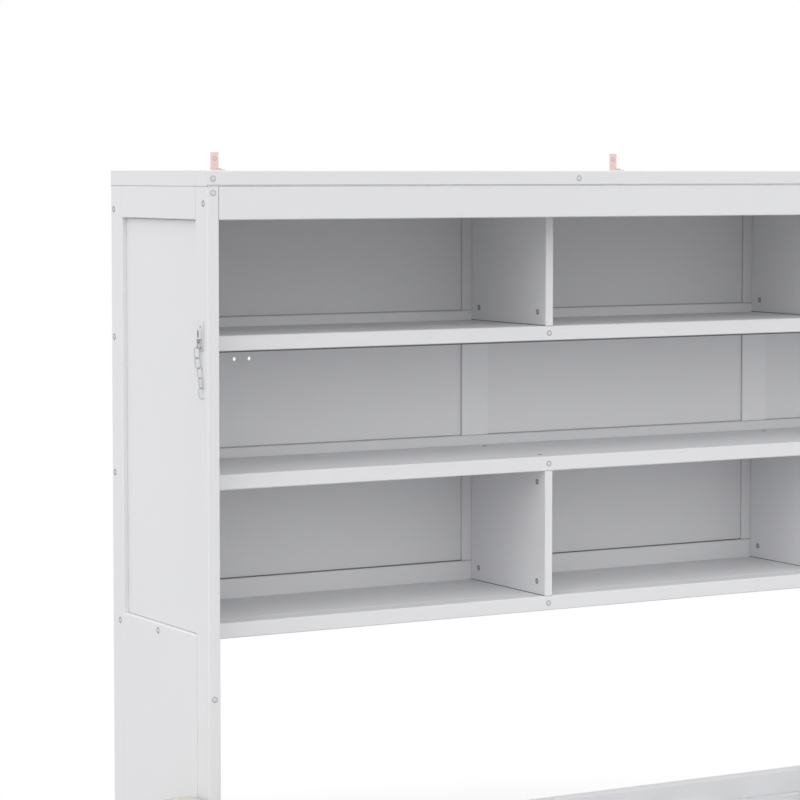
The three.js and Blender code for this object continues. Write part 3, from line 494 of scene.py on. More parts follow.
# Painted shadow: a dark strip under the first shelf's front edge.
low, high = shelf_boxes[0]
dark_lines.append(([low[0], low[1] + 0.6 * MM, low[2] - 2.2 * MM], [high[0], low[1] + 6 * MM, low[2]]))
strips("joints_of_the_back", dark_lines, painted_dark_joint_shadow)
strips("shade_lines_under_rails", hidden_lines, painted_grey_joint_shade)
strips("shade_beside_battens", pale_lines, painted_pale_batten_shade)

# Painted shade: the grey strip under the top beam. The white one above it closes the hair line as paint
# does.
beam_foot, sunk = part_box("top_front_beam")[0].z, 0.5 * MM
for name, material, foot, crown, out in (
    ("joint_under_top", painted_grey_joint_shade, beam_foot - 2 * MM, beam_foot - 0.7 * MM, 0.14 * MM),
    ("painted_over_top", paint_upright, beam_foot - 0.7 * MM, beam_foot + 0.3 * MM, 0.1 * MM),
):
    front = ([left_x, front_y - out, foot], [right_x, front_y + sunk, min(crown, foot + 0.5 * MM)])
    left = ([left_x - out, front_y, foot], [left_x + sunk, top_high[1], crown])
    right = ([right_x - sunk, front_y, foot], [right_x + out, top_high[1], crown])
    strips(name, [front, left, right], material)

for side, outward in (("left", -1), ("right", 1)):
    panel, rail, board = (corners(f"side_{part}_{side}") for part in ("panel", "top_rail", "lower_board"))
    outer_end = 0 if outward < 0 else 1
    face = panel[outer_end][0]
    # Painted shade: a dark strip under each side rail and a grey one at the side panel's foot.
    for name, material, foot, crown in (
        ("side_rail_slit", painted_dark_joint_shadow, rail[0][2] - 1.1 * MM, rail[0][2]),
        ("side_panel_foot", painted_grey_joint_shade, board[1][2], board[1][2] + 1.2 * MM),
    ):
        line = ([face - 0.5 * MM, rail[0][1], foot], [face + 0.5 * MM, rail[1][1], crown])
        strips(f"{name}_{side}", [line], material)
    fills = []
    for low, high in (rail, board):
        outer = (low, high)[outer_end][0]
        inner_x, outer_x = sorted((outer - outward * 12 * MM, outer - outward * 0.12 * MM))
        for y in (low[1] - 0.3 * MM, high[1]):
            fills.append(([inner_x, y, low[2] + MM], [outer_x, y + 0.3 * MM, high[2] - MM]))
    strips(f"painted_over_{side}", fills, paint_upright)

# %% [markdown]
# ## Bolts and screws
# The boards are held by bolts whose round heads sit in drilled seats: from a step away each is a
# grey ring round a pale head. The head is a turned shape whose inner rows are six-sided, for the key,
# and a thin grey ring round it is painted shade, standing for the shadow in the gap to the drilled edge.
# One head is worked out once, and then copied to every place by adding the places to its points. The
# general shape behind it is a stack: closed outlines laid one over another.


# %% Bolt heads
def stack(outlines, heights, capped=True):
    """Outlines of equally many points, anticlockwise, from the top down: row i is outline i at height i. The
    two ends are capped, or else joined to each other."""
    outlines = np.asarray(outlines, float)
    rows, count = outlines.shape[:2]
    z = np.broadcast_to(np.asarray(heights, float)[:, None, None], (rows, count, 1))
    points = np.concatenate([outlines, z], axis=2).reshape(-1, 3)
    faces = grid_faces(rows, count, close_rows=not capped, close_columns=True)[:, ::-1]
    if not capped:
        return points, [faces]
    poles = points.reshape(rows, count, 3)[[0, -1]].mean(axis=1)
    first_ring, total = np.arange(count), rows * count
    caps = [fan(first_ring, total), fan(first_ring + total - count, total + 1, turned_over=True)]
    return np.concatenate([points, poles]), [faces, *caps]


def turned(radii, heights, spokes, capped=True):
    """A stack of circles: point (i, j) is radius (i, j) at angle j. A radius may vary with the angle."""
    angle = 2 * np.pi * np.arange(spokes) / spokes
    radii = np.broadcast_to(np.asarray(radii, float).reshape(len(heights), -1), (len(heights), spokes))
    return stack(np.stack([radii * np.cos(angle), radii * np.sin(angle)], axis=-1), heights, capped)


def pressed(width, height, radius, insets, heights, turn=0.0):
    """A stack of rounded rectangles in millimetres, drawn in by each inset: four quarter circles of six
    points each, radius - inset round their middles, turned about the stack's own middle."""
    angle = np.concatenate([np.linspace(a, a + np.pi / 2, 6) for a in np.arange(4) * np.pi / 2])
    signs = np.repeat([[1, 1], [-1, 1], [-1, -1], [1, -1]], 6, axis=0)
    c, s = math.cos(turn), math.sin(turn)
    outlines = []
    for inset in insets:
        bend = max(radius - inset, 0.2)
        reach = np.array([width, height]) / 2 - inset - bend
        outlines.append(signs * reach + bend * np.stack([np.cos(angle), np.sin(angle)], axis=1))
    return stack(np.array(outlines) @ [[c, s], [-s, c]] * MM, np.array(heights) * MM)


def six_sided(flat, spokes):
    """Reach of a hexagon's side at each angle: flat / cos of the angle from the side's middle."""
    angle = 2 * np.pi * np.arange(spokes) / spokes
    return flat / np.cos((angle + np.pi / 6) % (np.pi / 3) - np.pi / 6)


def copied(surface, places, normal):
    """A shape that points up, copied to each place with its top along normal."""
    points, parts = surface
    normal = np.asarray(normal, float)
    side = np.cross([0.0, 0.0, 1.0] if abs(normal[2]) < 0.9 else [0.0, 1.0, 0.0], normal)
    side /= np.linalg.norm(side)
    basis = np.stack([side, np.cross(normal, side), normal])
    places = np.asarray(places, float).reshape(-1, 3)
    laid = places[:, None, :] + (points @ basis)[None, :, :]
    shifts = (np.arange(len(places)) * len(points))[:, None, None]
    return laid.reshape(-1, 3), [(part[None] + shifts).reshape(-1, part.shape[1]) for part in parts]


spokes = 24


def head(diameter, height, key):
    """A bolt head: floor of the key hole, its six walls, the flat top, a rounded rim and the side."""
    r, k = diameter / 2, six_sided(key / 2, spokes)
    rows = [k, k, 0 * k + r - 0.35 * height, 0 * k + r - 0.1 * height, 0 * k + r, 0 * k + r]
    heights = [0.2 * height, height, height, 0.9 * height, 0.6 * height, 0.0]
    return turned(np.stack(rows), heights, spokes)


def ring(inner, outer, height):
    """A flat ring: its top from inner to outer, its side, its foot, and back up."""
    radii = np.array([[inner], [outer], [outer], [inner]]) / 2
    return turned(radii, [height, height, 0.0, 0.0], spokes, capped=False)


def bolts(name, places, normal, body, diameter=7.0, height=0.6, seat=10.8, shift=0.0, coat="zinc_steel"):
    """Bolt heads at these places, and rings round them that are painted shade for the gap in their seats.
    A head may be shifted to the front inside its ring. Such a seat is deeper, so its ring is darker:
    painted shade of a deeper seat."""
    # Painted shade: a seat ring is a grey sheet for the shadow round a head, and a darker one where the head
    # is shifted.
    metal, rim = bolt_steel, painted_dark_seat_shade if shift else painted_grey_seat_shade
    # On the brackets the ring is a darker pink, painted shade as well.
    if coat == "tinted_steel":
        metal, rim = pink_coat, pink_screws_and_seat_shade
    places = np.asarray(places, float).reshape(-1, 3)
    shape = head(diameter * MM, height * MM, 2.6 * MM)
    make_piece(name, copied(shape, places - [0, shift * MM, 0], normal), body, metal)
    gap = ring((diameter - 2 * shift - 0.2) * MM, seat * MM, 0.12 * MM)
    make_piece(name + "_seats", copied(gap, places, normal), body, rim)


def screws(name, places, normal, body, diameter=7.0, height=1.0, material=bolt_steel):
    """Screw heads without seats at these places."""
    shape = head(diameter * MM, height * MM, 0.36 * diameter * MM)
    make_piece(name, copied(shape, places, normal), body, material)


# %% [markdown]
# The bolt places are read off the photograph: two at the top left corner, two in the front beam over
# the dividers, one in each shelf's edge at each divider, and a row down the side. What the photograph
# cuts off on the right is the mirror image of the left.

# %% Bolts on the cabinet's front and sides
divider_mm = [(x - left_x) / MM for x in battens]
post_mm = (11, width_mm - 11)
front_bolts = [on_cabinet(x, 0, 13.6) for x in (*post_mm, *divider_mm)]
front_bolts += [on_cabinet(x, 0, h) for x in post_mm for h in (37.5, 884.5, 1650)]
bolts("front_bolts", front_bolts, (0, -1, 0), "cabinet")

shelf_front_mm = (shelf_boxes[0][0][1] - front_y) / MM
shelf_bolts = [
    on_cabinet(x, shelf_front_mm, (top_z - (low[2] + high[2]) / 2) / MM)
    for low, high in shelf_boxes
    for x in divider_mm
]
bolts("shelf_edge_bolts", shelf_bolts, (0, -1, 0), "cabinet", diameter=6.4, seat=10.8)

side_places = [(15, 55), (376.5, 68), (376.5, 294), (376.5, 535)]
side_places += [(358, 797), (200, 794), (23, 1630), (365, 1651)]
for side, x, outward in (("left", 0, -1), ("right", width_mm, 1)):
    places = [on_cabinet(x, y, h) for y, h in side_places]
    bolts(f"side_bolts_{side}", places, (outward, 0, 0), "cabinet", 6.8, seat=11.2, shift=0.8)

# %% [markdown]
# Each divider is drawn tight by cam locks: discs let into its left face, one near each corner. What the
# photograph shows of one is two dark spots with a pale bar between them, which is the cam's screwdriver
# slot seen through the dark hole. Here the hole's shade is painted: a dark disc, with a grey bar over it
# that is partly painted shade too. Dark screws also come through the second shelf into the dividers
# below, and up through the other two shelves.

# %% Cam locks and shelf screws
cam_places = []
for row, shelf in (("top", 0), ("bottom", 2)):
    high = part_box("front_top_rail")[0].z + 34 * MM if row == "top" else shelf_boxes[1][0][2] - 22 * MM
    heights = (high, shelf_boxes[shelf][1][2] + 24.5 * MM)
    for side in sides:
        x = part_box(f"divider_{row}_{side}")[0].x
        cam_places += [[x, front_y + y * MM, z] for y in (124, 329) for z in heights]
cam = turned(np.array([[3.6], [5.0], [5.3], [5.3]]) * MM, np.array([0.12, 0.12, 0.08, 0]) * MM, spokes)
bar = pressed(8, 2.4, 1.1, (0.25, 0, 0), (0.5, 0.3, 0.02), math.radians(25))
# Painted shade: the dark disc stands for the shadow in the cam's hole.
make_piece("cam_hole_shade", copied(cam, cam_places, (-1, 0, 0)), "cabinet", painted_dark_seat_shade)
make_piece("cam_lock_bars", copied(bar, cam_places, (-1, 0, 0)), "cabinet", painted_grey_seat_shade)

for name, level, normal in (
    ("shelf_screws_above", shelf_boxes[1][1][2], (0, 0, 1)),
    ("shelf_screws_below_1", shelf_boxes[0][0][2], (0, 0, -1)),
    ("shelf_screws_below_3", shelf_boxes[2][0][2], (0, 0, -1)),
):
    places = [[x, front_y + y * MM, level] for x in battens for y in (128, 322)]
    screws(name, places, normal, "cabinet", 9.0, 0.5, dark_steel)

# %% [markdown]
# The brackets carry a round screw in the foot and one through the upright, pink like the angle itself.
# The rest is out of the photograph's sight and follows from the build: screws through the back rails
# into the shelves, bolts through the long bed rails into the end rails, one screw at each end of each
# slat, and the screws of the pivots and of the chain's catch. The pins of the swing legs belong to the
# painted rail, so a domed steel cap covers each.

# %% Screws of the brackets, the back and the bed
bracket_boxes = [corners(f"wall_bracket_{at}") for at in ("left", "middle", "right")]
wall_screws = [[(a[0] + b[0]) / 2, b[1] - 2 * MM, b[2] - 11 * MM] for a, b in bracket_boxes]
foot_screws = [[(a[0] + b[0]) / 2, a[1] + 11 * MM, a[2] + 2 * MM] for a, b in bracket_boxes]
bolts("bracket_wall_screws", wall_screws, (0, -1, 0), "cabinet", 5.8, 0.7, 9.2, coat="tinted_steel")
screws("bracket_foot_screws", foot_screws, (0, 0, 1), "cabinet", 10.0, 2.0, pink_screws_and_seat_shade)

back_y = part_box("back_rail_1")[1].y
columns = (-0.97, -0.62, *battens, 0.62, 0.97)
rear_screws = [[x, back_y, (low[2] + high[2]) / 2] for low, high in shelf_boxes for x in columns]
screws("rear_screws", rear_screws, (0, 1, 0), "cabinet", 8.0, 0.6)
low, high = corners("rear_stretcher")
ends = [[sign * (high[0] - 25 * MM), high[1], (low[2] + high[2]) / 2] for sign in (-1, 1)]
screws("stretcher_screws", ends, (0, 1, 0), "cabinet", 8.0, 0.6)

rail_low, rail_high = corners("bed_end_rail_right")
rail_middle = (rail_low[0] + rail_high[0]) / 2
levels = (rail_low[2] + 25 * MM, rail_high[2] - 25 * MM)
for end, face, outward in (
    ("front", rail_low[1] - 28.3 * MM, -1),
    ("rear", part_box("bed_rear_rail")[1].y, 1),
):
    places = [[sign * rail_middle, face, z] for sign in (-1, 1) for z in levels]
    bolts(f"bed_bolts_{end}", places, (0, outward, 0), "bed", 9.0, 0.8, 13.0)
slat_low, slat_high = corners("bed_slat_base")
slat_x = np.linspace(slat_low[0] + 43 * MM, slat_high[0] - 43 * MM, 13)
slat_y = (slat_low[1] + 18 * MM, slat_high[1] - 18 * MM)
slat_ends = [[x, y, slat_high[2]] for x in slat_x for y in slat_y]
spacer_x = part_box("bed_end_rail_left")[1].x + 0.5 * MM
screws("slat_screws", slat_ends, (0, 0, 1), "bed", 7.0, 0.4, paint_along_y)
spacer_low = [spacer_x, slat_high[1] - 15 * MM, slat_high[2] - 16 * MM]
spacer_high = [-spacer_x, slat_high[1] - 0.2 * MM, slat_high[2] - 0.5 * MM]
strips("slat_spacer", [(spacer_low, spacer_high)], paint_along_x, "bed")

for side, sign in (("left", -1), ("right", 1)):
    low, high = corners(f"pivot_plate_{side}")
    plate_y = (low[1] + high[1]) / 2
    plate_x = sign * (max(abs(low[0]), abs(high[0])) - 2.4 * MM)
    plate_screws = [[plate_x, plate_y, z] for z in (low[2] + 14 * MM, high[2] - 14 * MM)]
    screws(f"pivot_plate_screws_{side}", plate_screws, (-sign, 0, 0), "cabinet", 8.0, 0.9)
    low, high = corners(f"pivot_ear_{side}")
    ear_x = sign * max(abs(low[0]), abs(high[0]))
    ear_screws = [[ear_x, plate_y + y * MM, low[2] + 14 * MM] for y in (-53, -22, 22, 53)]
    screws(f"pivot_ear_screws_{side}", ear_screws, (sign, 0, 0), "bed", 8.0, 1.0)

low, high = corners("chain_catch")
catch_places = [[high[0] - 1.5 * MM, y, (low[2] + high[2]) / 2] for y in (low[1] + 6 * MM, high[1] - 6 * MM)]
screws("catch_screws", catch_places, (-1, 0, 0), "bed", 5.0, 0.8)

cap_radii = 13.4 * MM * np.array([[0.4], [0.74], [0.9], [1], [1]])
dome = turned(cap_radii, 5.8 * MM * np.array([1, 0.985, 0.92, 0.7, 0]), 32)
pin_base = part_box("bed_front_rail")[0].y + 5.3 * MM
pin_z = (rail_low[2] + rail_high[2]) / 2
pin_x = [(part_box(f"bed_leg_{side}")[0].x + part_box(f"bed_leg_{side}")[1].x) / 2 for side in sides]
pins = copied(dome, [[x, pin_base, pin_z] for x in pin_x], (0, -1, 0))
make_piece("leg_pin_caps", pins, "bed", zinc)

# %% [markdown]
# ## The pull and the safety chain
# The pull is a round bar bent at both ends, with a thin collar where each foot meets the rail. A door
# chain hangs from the keeper on the left post. Its links are closed ovals of round wire, each a tube
# along a path of two half circles and two straights. The solid has the links at exact right angles.
# Real ones settle with a twist, so that most of them look oval from the front, and the chain leans in
# until its lower end rests on the post.


# %% Tubes
def tube(path, side, radius, sides, closed):
    """A tube: point (i, j) is path i + radius (cos j of side across the path + sin j of the third way)."""
    path = np.asarray(path, float)
    if closed:
        ahead = np.roll(path, -1, axis=0) - np.roll(path, 1, axis=0)
    else:
        ahead = np.gradient(path, axis=0)
    ahead /= np.linalg.norm(ahead, axis=1, keepdims=True)
    third = np.cross(ahead, np.broadcast_to(side, path.shape))
    third /= np.linalg.norm(third, axis=1, keepdims=True)
    first = np.cross(third, ahead)
    angle = 2 * np.pi * np.arange(sides) / sides
    around = np.cos(angle)[None, :, None] * first[:, None] + np.sin(angle)[None, :, None] * third[:, None]
    points = path[:, None] + radius * around
    faces = grid_faces(len(path), sides, close_rows=closed, close_columns=True)
    if closed:
        return points.reshape(-1, 3), [faces]
    first_ring, count = np.arange(sides), len(path) * sides
    caps = [fan(first_ring, count, turned_over=True), fan(first_ring + count - sides, count + 1)]
    return np.concatenate([points.reshape(-1, 3), path[[0, -1]]]), [faces, *caps]


def oval(middle, long, wide, length, width, wire):
    """A link's centre line: middle + bend (cos long + sin wide) + straight sign(cos) long, closed."""
    angle = 2 * np.pi * (np.arange(40) + 0.5) / 40
    bend = width / 2 - wire / 2
    straight = length / 2 - wire / 2 - bend
    along = bend * np.cos(angle) + straight * np.sign(np.cos(angle))
    return middle + along[:, None] * long + (bend * np.sin(angle))[:, None] * wide


# %% Pull
pull_low, pull_high = corners("bed_pull")
bar_radius, bend = 5 * MM, 14 * MM
foot_x, bar_z = pull_high[0] - bar_radius, pull_low[2] + bar_radius
bar_y = (pull_low[1] + pull_high[1]) / 2
turn = np.linspace(0, np.pi / 2, 9)
quarter = np.stack([foot_x - bend * (1 - np.cos(turn)), bar_z + bend * (1 - np.sin(turn))], axis=1)
half_path = np.concatenate([[[foot_x, pull_high[2]]], quarter, [[foot_x / 2, bar_z]]])
flat_path = np.concatenate([half_path, half_path[::-1] * [-1, 1]])
pull_path = np.stack([flat_path[:, 0], np.full(len(flat_path), bar_y), flat_path[:, 1]], axis=1)
collar = turned(np.array([[5.2], [8.2], [8.6], [8.6]]) * MM, np.array([3.0, 2.6, 1.8, 0.0]) * MM, 28)
collars = copied(collar, [[sign * foot_x, bar_y, pull_high[2]] for sign in (-1, 1)], (0, 0, -1))
pull_shapes = together([tube(pull_path, (0, 1, 0), bar_radius, 20, False), collars])
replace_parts(make_piece("smooth_pull", pull_shapes, "bed", zinc), "bed_pull")

# %% Chain links
chain_low, chain_high = corners("safety_chain")
link_width, wire = 10.8 * MM, 1.9 * MM
chain_x, chain_y = (chain_low[:2] + chain_high[:2]) / 2
link_lengths = np.array([14, 21, 21, 21, 21, 21]) * MM
sway = np.array([0.0, -0.1, 0.1, 0.7, 0.87, 1.14])
sideways = np.stack([3.4 * MM * sway, -6.5 * MM * sway], axis=1)
pitches = np.array([13.4, 16.9, 16.9, 16.9, 16.9]) * MM
drops = np.sqrt(pitches**2 - np.sum(np.diff(sideways, axis=0) ** 2, axis=1))
link_z = chain_high[2] - 7 * MM - np.concatenate([[0], np.cumsum(drops)])
middles = np.column_stack([chain_x + sideways[:, 0], chain_y + sideways[:, 1], link_z])
hang = np.gradient(middles, axis=0)
hang /= np.linalg.norm(hang, axis=1, keepdims=True)
twist = np.radians([60, -5, -48, -3, -78, -30])
wides = np.column_stack([np.cos(twist), np.sin(twist), 0 * twist])
wides -= hang * np.sum(wides * hang, axis=1, keepdims=True)
wides /= np.linalg.norm(wides, axis=1, keepdims=True)
links = [
    tube(oval(m, h, w, length, link_width, wire), np.cross(h, w), wire / 2, 10, True)
    for m, h, w, length in zip(middles, hang, wides, link_lengths)
]
chain = make_piece("chain_links", together(links), "chain", chrome)
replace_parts(chain, "safety_chain")

# %% [markdown]
# The keeper is a pressed plate with a screw above and below. Its middle is raised into a housing with an
# upright slot, and the chain hangs from a small ring below it. The slot is painted shade: a thin dark
# sheet on the housing's face. The ring's dark steel also stands partly for the shade round it, as
# painted shade. Each part is a stack of rounded outlines that shrink a little towards the top, as a
# pressed edge does.

# %% Keeper
left_face = (-1, 0, 0)
plate, housing, opening, foot_plate = (
    copied(pressed(*shape), [on_cabinet(*place)], left_face)
    for place, shape in (
        ((-0.3, 24.5, 275.3), (23, 49.5, 3, (0.5, 0.1, 0, 0), (1.5, 1.4, 1, 0))),
        ((-1.5, 22, 272), (8.4, 18, 2, (1, 0.3, 0, 0), (6.4, 6.1, 5.2, 0.2))),
        ((-7.88, 20.8, 271.5), (5.2, 12.5, 2, (0.2, 0), (0.1, 0))),
        ((-1.8, 19, 294.5), (10, 9, 2, (0.6, 0, 0), (1.2, 0.8, 0))),
    )
)
keeper_shapes = together([plate, housing])
keeper = make_piece("keeper_plate", keeper_shapes, "cabinet", keeper_steel, sharp=30)
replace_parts(keeper, "chain_keeper")
# Painted shade: the slot is a dark sheet, not a hole.
make_piece("keeper_slot_painted_shade", opening, "cabinet", painted_slot_shade)
make_piece("keeper_foot", foot_plate, "cabinet", chrome)
keeper_screws = [on_cabinet(-1.8, 23.5, 260), on_cabinet(-3.0, 20, 295)]
screws("keeper_screws", keeper_screws, left_face, "cabinet", 5.0, 0.9, chrome)
ring_turn = 2 * np.pi * np.arange(28) / 28
ring_middle = on_cabinet(-6.2, 23.4, 283.5)
ring_path = ring_middle + 3.7 * MM * np.column_stack([0 * ring_turn, np.cos(ring_turn), np.sin(ring_turn)])
eye = tube(ring_path, (1, 0, 0), 0.95 * MM, 10, True)
# The ring's dark colour is partly painted shade for the gap round it.
make_piece("keeper_eye", eye, "cabinet", dark_steel)

# %% [markdown]
# ## The sofa
# Arms and cushions are foam under cloth. Foam pushes the cloth out into a crown and the seams hold it
# back, so a cushion's faces swell, its sides draw in between the corners, and the cloth puckers along
# the seams. We start from a rounded block on an even grid, pin the seam lines, and let Blender's cloth
# solver blow it up a little. The seams then lie exactly on their formula, and the piping follows them.


# %% Rounded blocks
def rounded_block(low, high, radius, spacing):
    """A closed rounded box: each point q of a box grid goes to core + radius (q - core) / |q - core|, where
    core is q held inside the box by radius. Corners of the six grids that coincide are merged."""
    low, high = np.asarray(low, float), np.asarray(high, float)
    centre, half = (low + high) / 2, (high - low) / 2
    stations = []
    for size in half:
        flat = size - radius
        count = max(2, int(round(2 * flat / spacing)))
        bend = flat + radius * np.tan(np.radians([15, 30, 45]))
        stations.append(np.concatenate([-bend[::-1], np.linspace(-flat, flat, count + 1), bend]))
    surfaces = []
    for axis in range(3):
        u, v = (axis + 1) % 3, (axis + 2) % 3
        for face in (-1, 1):
            q = np.zeros((len(stations[u]), len(stations[v]), 3))
            q[..., axis] = face * half[axis]
            q[..., u] = stations[u][:, None]
            q[..., v] = stations[v][None, :]
            faces = grid_faces(*q.shape[:2])
            surfaces.append((q.reshape(-1, 3), [faces[:, ::-1] if face > 0 else faces]))
    q, parts = together(surfaces)
    core = np.clip(q, radius - half, half - radius)
    out = q - core
    points = centre + core + radius * out / np.linalg.norm(out, axis=1, keepdims=True)
    _, first, same = np.unique(np.round(points, 7), axis=0, return_index=True, return_inverse=True)
    return points[first], [same.reshape(-1)[np.concatenate(parts)[:, ::-1]]]


def seam_loop(low, high, axis, level, inset, radius):
    """A rounded rectangle at a level of one axis: four quarter circles whose middles lie radius inside."""
    low, high = np.asarray(low, float), np.asarray(high, float)
    u, v = (axis + 1) % 3, (axis + 2) % 3
    reach = np.array([(high[a] - low[a]) / 2 - inset - radius for a in (u, v)])
    middle = np.array([(high[a] + low[a]) / 2 for a in (u, v)])
    angle = np.linspace(0, np.pi / 2, 24)
    corner = radius * np.stack([np.cos(angle), np.sin(angle)], axis=1)
    turns = [np.array([[c, -s], [s, c]]) for c, s in ((1, 0), (0, 1), (-1, 0), (0, -1))]
    signs = [(1, 1), (-1, 1), (-1, -1), (1, -1)]
    loop = np.concatenate([corner @ turn.T + reach * sign for turn, sign in zip(turns, signs)]) + middle
    lengths = np.linalg.norm(np.diff(loop, axis=0, append=loop[:1]), axis=1)
    travelled = np.concatenate([[0], np.cumsum(lengths)])
    even = np.linspace(0, travelled[-1], int(travelled[-1] / 0.006) + 1)[:-1]
    closed = np.concatenate([loop, loop[:1]])
    flat = np.stack([np.interp(even, travelled, closed[:, i]) for i in range(2)], axis=1)
    points = np.full((len(flat), 3), float(level))
    points[:, u], points[:, v] = flat[:, 0], flat[:, 1]
    return points


# %% [markdown]
# The cloth solver runs for twenty frames with pressure and no gravity. The cloth is a little larger
# than the block, which is what makes it pucker beside a seam. Afterwards no point may have moved by
# more than a cap, and none may leave the room between the neighbours, so a cushion goes flat where it
# leans on something.


# %% Blowing up a cushion
def coordinates(piece):
    """The points of a mesh as an array."""
    flat = np.empty(len(piece.data.vertices) * 3)
    piece.data.vertices.foreach_get("co", flat)
    return flat.reshape(-1, 3)


def set_coordinates(piece, points):
    """Writes an array of points back into a mesh."""
    piece.data.vertices.foreach_set("co", points.ravel())
    piece.data.update()


def near(points, loop, distance):
    """Which points lie within a distance of any point of a loop."""
    gaps = np.linalg.norm(points[:, None, :] - loop[None, ::2, :], axis=2)
    return gaps.min(axis=1) < distance


def blow_up(piece, loops, room_low, room_high, pressure, loose, cap, spacing):
    """Pins the points beside the loops, runs the solver, and keeps moves inside the cap and the room."""
    start = coordinates(piece)
    pinned = np.zeros(len(start), bool)
    for loop in loops:
        pinned |= near(start, loop, spacing * 0.6)
    print(piece.name, "pinned", int(pinned.sum()), "of", len(start))
    group = piece.vertex_groups.new(name="seams")
    group.add(np.flatnonzero(pinned).tolist(), 1.0, "REPLACE")
    solver = piece.modifiers.new("cloth", "CLOTH")
    solver.settings.effector_weights.gravity = 0
    for setting, value in {
        "quality": 5,
        "mass": 0.25,
        "tension_stiffness": 20,
        "compression_stiffness": 20,
        "shear_stiffness": 8,
        "bending_stiffness": 0.6,
        "use_pressure": True,
        "uniform_pressure_force": pressure,
        "shrink_min": -loose,
        "vertex_group_mass": "seams",
    }.items():
        setattr(solver.settings, setting, value)
    solver.point_cache.frame_start, solver.point_cache.frame_end = 1, 20
    for at in range(1, 21):
        bpy.context.scene.frame_set(at)
    shown = piece.evaluated_get(bpy.context.evaluated_depsgraph_get())
    blown = coordinates(shown)
    piece.modifiers.remove(solver)
    piece.vertex_groups.clear()
    bpy.context.scene.frame_set(1)
    move = blown - start
    length = np.linalg.norm(move, axis=1, keepdims=True)
    move *= np.minimum(1, cap / np.maximum(length, 1e-9))
    start = start + move
    print(piece.name, "moved up to", round(float(length.max()) / MM, 1), "mm")
    set_coordinates(piece, np.clip(start, room_low, room_high))
    smoother = piece.modifiers.new("smooth", "SUBSURF")
    smoother.levels = smoother.render_levels = 1


# %% [markdown]
# A seat cushion is a box cushion: a top and a bottom panel joined by an upright band, with piping sewn
# into both seams. The three lie side by side on the deck. The same block makes each, with a slightly
# different crown, because no two foam cores are cut quite alike.


# %% Seat cushions
def swelling(points, low, high, crown, draw):
    """Lifts the upper face by crown (1 - u^2)(1 - v^2) and draws the sides in by draw (1 - v^2), where u
    and v are the shares of the half width and half depth."""
    centre, half = (low + high) / 2, (high - low) / 2
    u, v, w = ((points - centre) / half).T
    moved = points.copy()
    moved[:, 2] += crown * (1 - u**2) * (1 - v**2) * np.clip(w, 0, 1) ** 2
    moved[:, 0] -= draw * u * (1 - v**2)
    moved[:, 1] -= draw * v * (1 - u**2)
    return moved


def piping(name, loops, body, radius):
    """Round piping along closed seam loops, with its side set straight up or across."""
    tubes = [tube(loop, side, radius, 8, True) for loop, side in loops]
    return make_piece(name, together(tubes), body, piping_cloth)


bed_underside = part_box("bed_face_panel")[0].z
cushion_radius = 16 * MM
for number, at in enumerate(("left", "middle", "right")):
    low, high = corners(f"seat_cushion_{at}")
    shape_low, shape_high = low + [3 * MM, 4 * MM, 0], high - [3 * MM, 3 * MM, 16 * MM]
    points, faces = rounded_block(shape_low, shape_high, cushion_radius, 13 * MM)
    crown = (11 + 1.5 * number) * MM
    inset = cushion_radius * (1 - math.cos(math.radians(45)))
    loops = [
        seam_loop(shape_low, shape_high, 2, level, inset, 0.8 * cushion_radius)
        for level in (shape_low[2] + inset, shape_high[2] - inset)
    ]
    points = swelling(points, shape_low, shape_high, crown, 4 * MM)
    loops = [swelling(loop, shape_low, shape_high, 0, 4 * MM) for loop in loops]
    cushion = make_piece(f"cushion_{at}", (points, faces), "cabinet", cloth, sharp=180)
    room_low = np.array([low[0] + 0.5 * MM, low[1] - 6 * MM, low[2]])
    room_high = np.array([high[0] - 0.5 * MM, high[1] - 0.5 * MM, bed_underside - 2 * MM])
    blow_up(cushion, loops, room_low, room_high, 2.2, 0.015, 14 * MM, 13 * MM)
    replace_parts(cushion, f"seat_cushion_{at}")
    piping(f"cushion_piping_{at}", [(loop, (0, 0, 1)) for loop in loops], "cabinet", 3.0 * MM)

# %% [markdown]
# An arm is a padded board: two side panels and a band between them that runs up the front, over the
# top and down the back. The photograph shows its rear top corner, with a rounded edge and a thin dark
# seam line along it, so the welt here is thin and half sunk.

# %% Arms
for side, sign in (("left", -1), ("right", 1)):
    low, high = corners(f"sofa_arm_{side}")
    shape_low, shape_high = low + 1.2 * MM, high - [1.2 * MM, 1.2 * MM, 0.4 * MM]
    points, faces = rounded_block(shape_low, shape_high, 14 * MM, 15 * MM)
    inset = 14 * MM * (1 - math.cos(math.radians(45)))
    levels = (shape_low[0] + inset, shape_high[0] - inset)
    loops = [seam_loop(shape_low, shape_high, 0, level, inset, 10 * MM) for level in levels]
    arm = make_piece(f"arm_{side}", (points, faces), "cabinet", cloth, sharp=180)
    outward = 2.5 * MM * np.array([sign, 0, 0])
    room_low = low + np.minimum(outward, 0) - [0, 2.5 * MM, 0]
    room_high = high + np.maximum(outward, 0) + [0, 2.5 * MM, 2.5 * MM]
    blow_up(arm, loops, room_low, room_high, 2.0, 0.012, 8 * MM, 15 * MM)
    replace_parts(arm, f"sofa_arm_{side}")
    piping(f"arm_welt_{side}", [(loop, (1, 0, 0)) for loop in loops], "cabinet", 1.8 * MM)

# %% [markdown]
# The apron is a board under thin foam and cloth, so it keeps its shape: only its corners are soft.

# %% Apron
low, high = corners("sofa_apron")
apron = make_piece("apron", rounded_block(low, high, 8 * MM, 30 * MM), "cabinet", cloth, sharp=180)
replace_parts(apron, "sofa_apron")

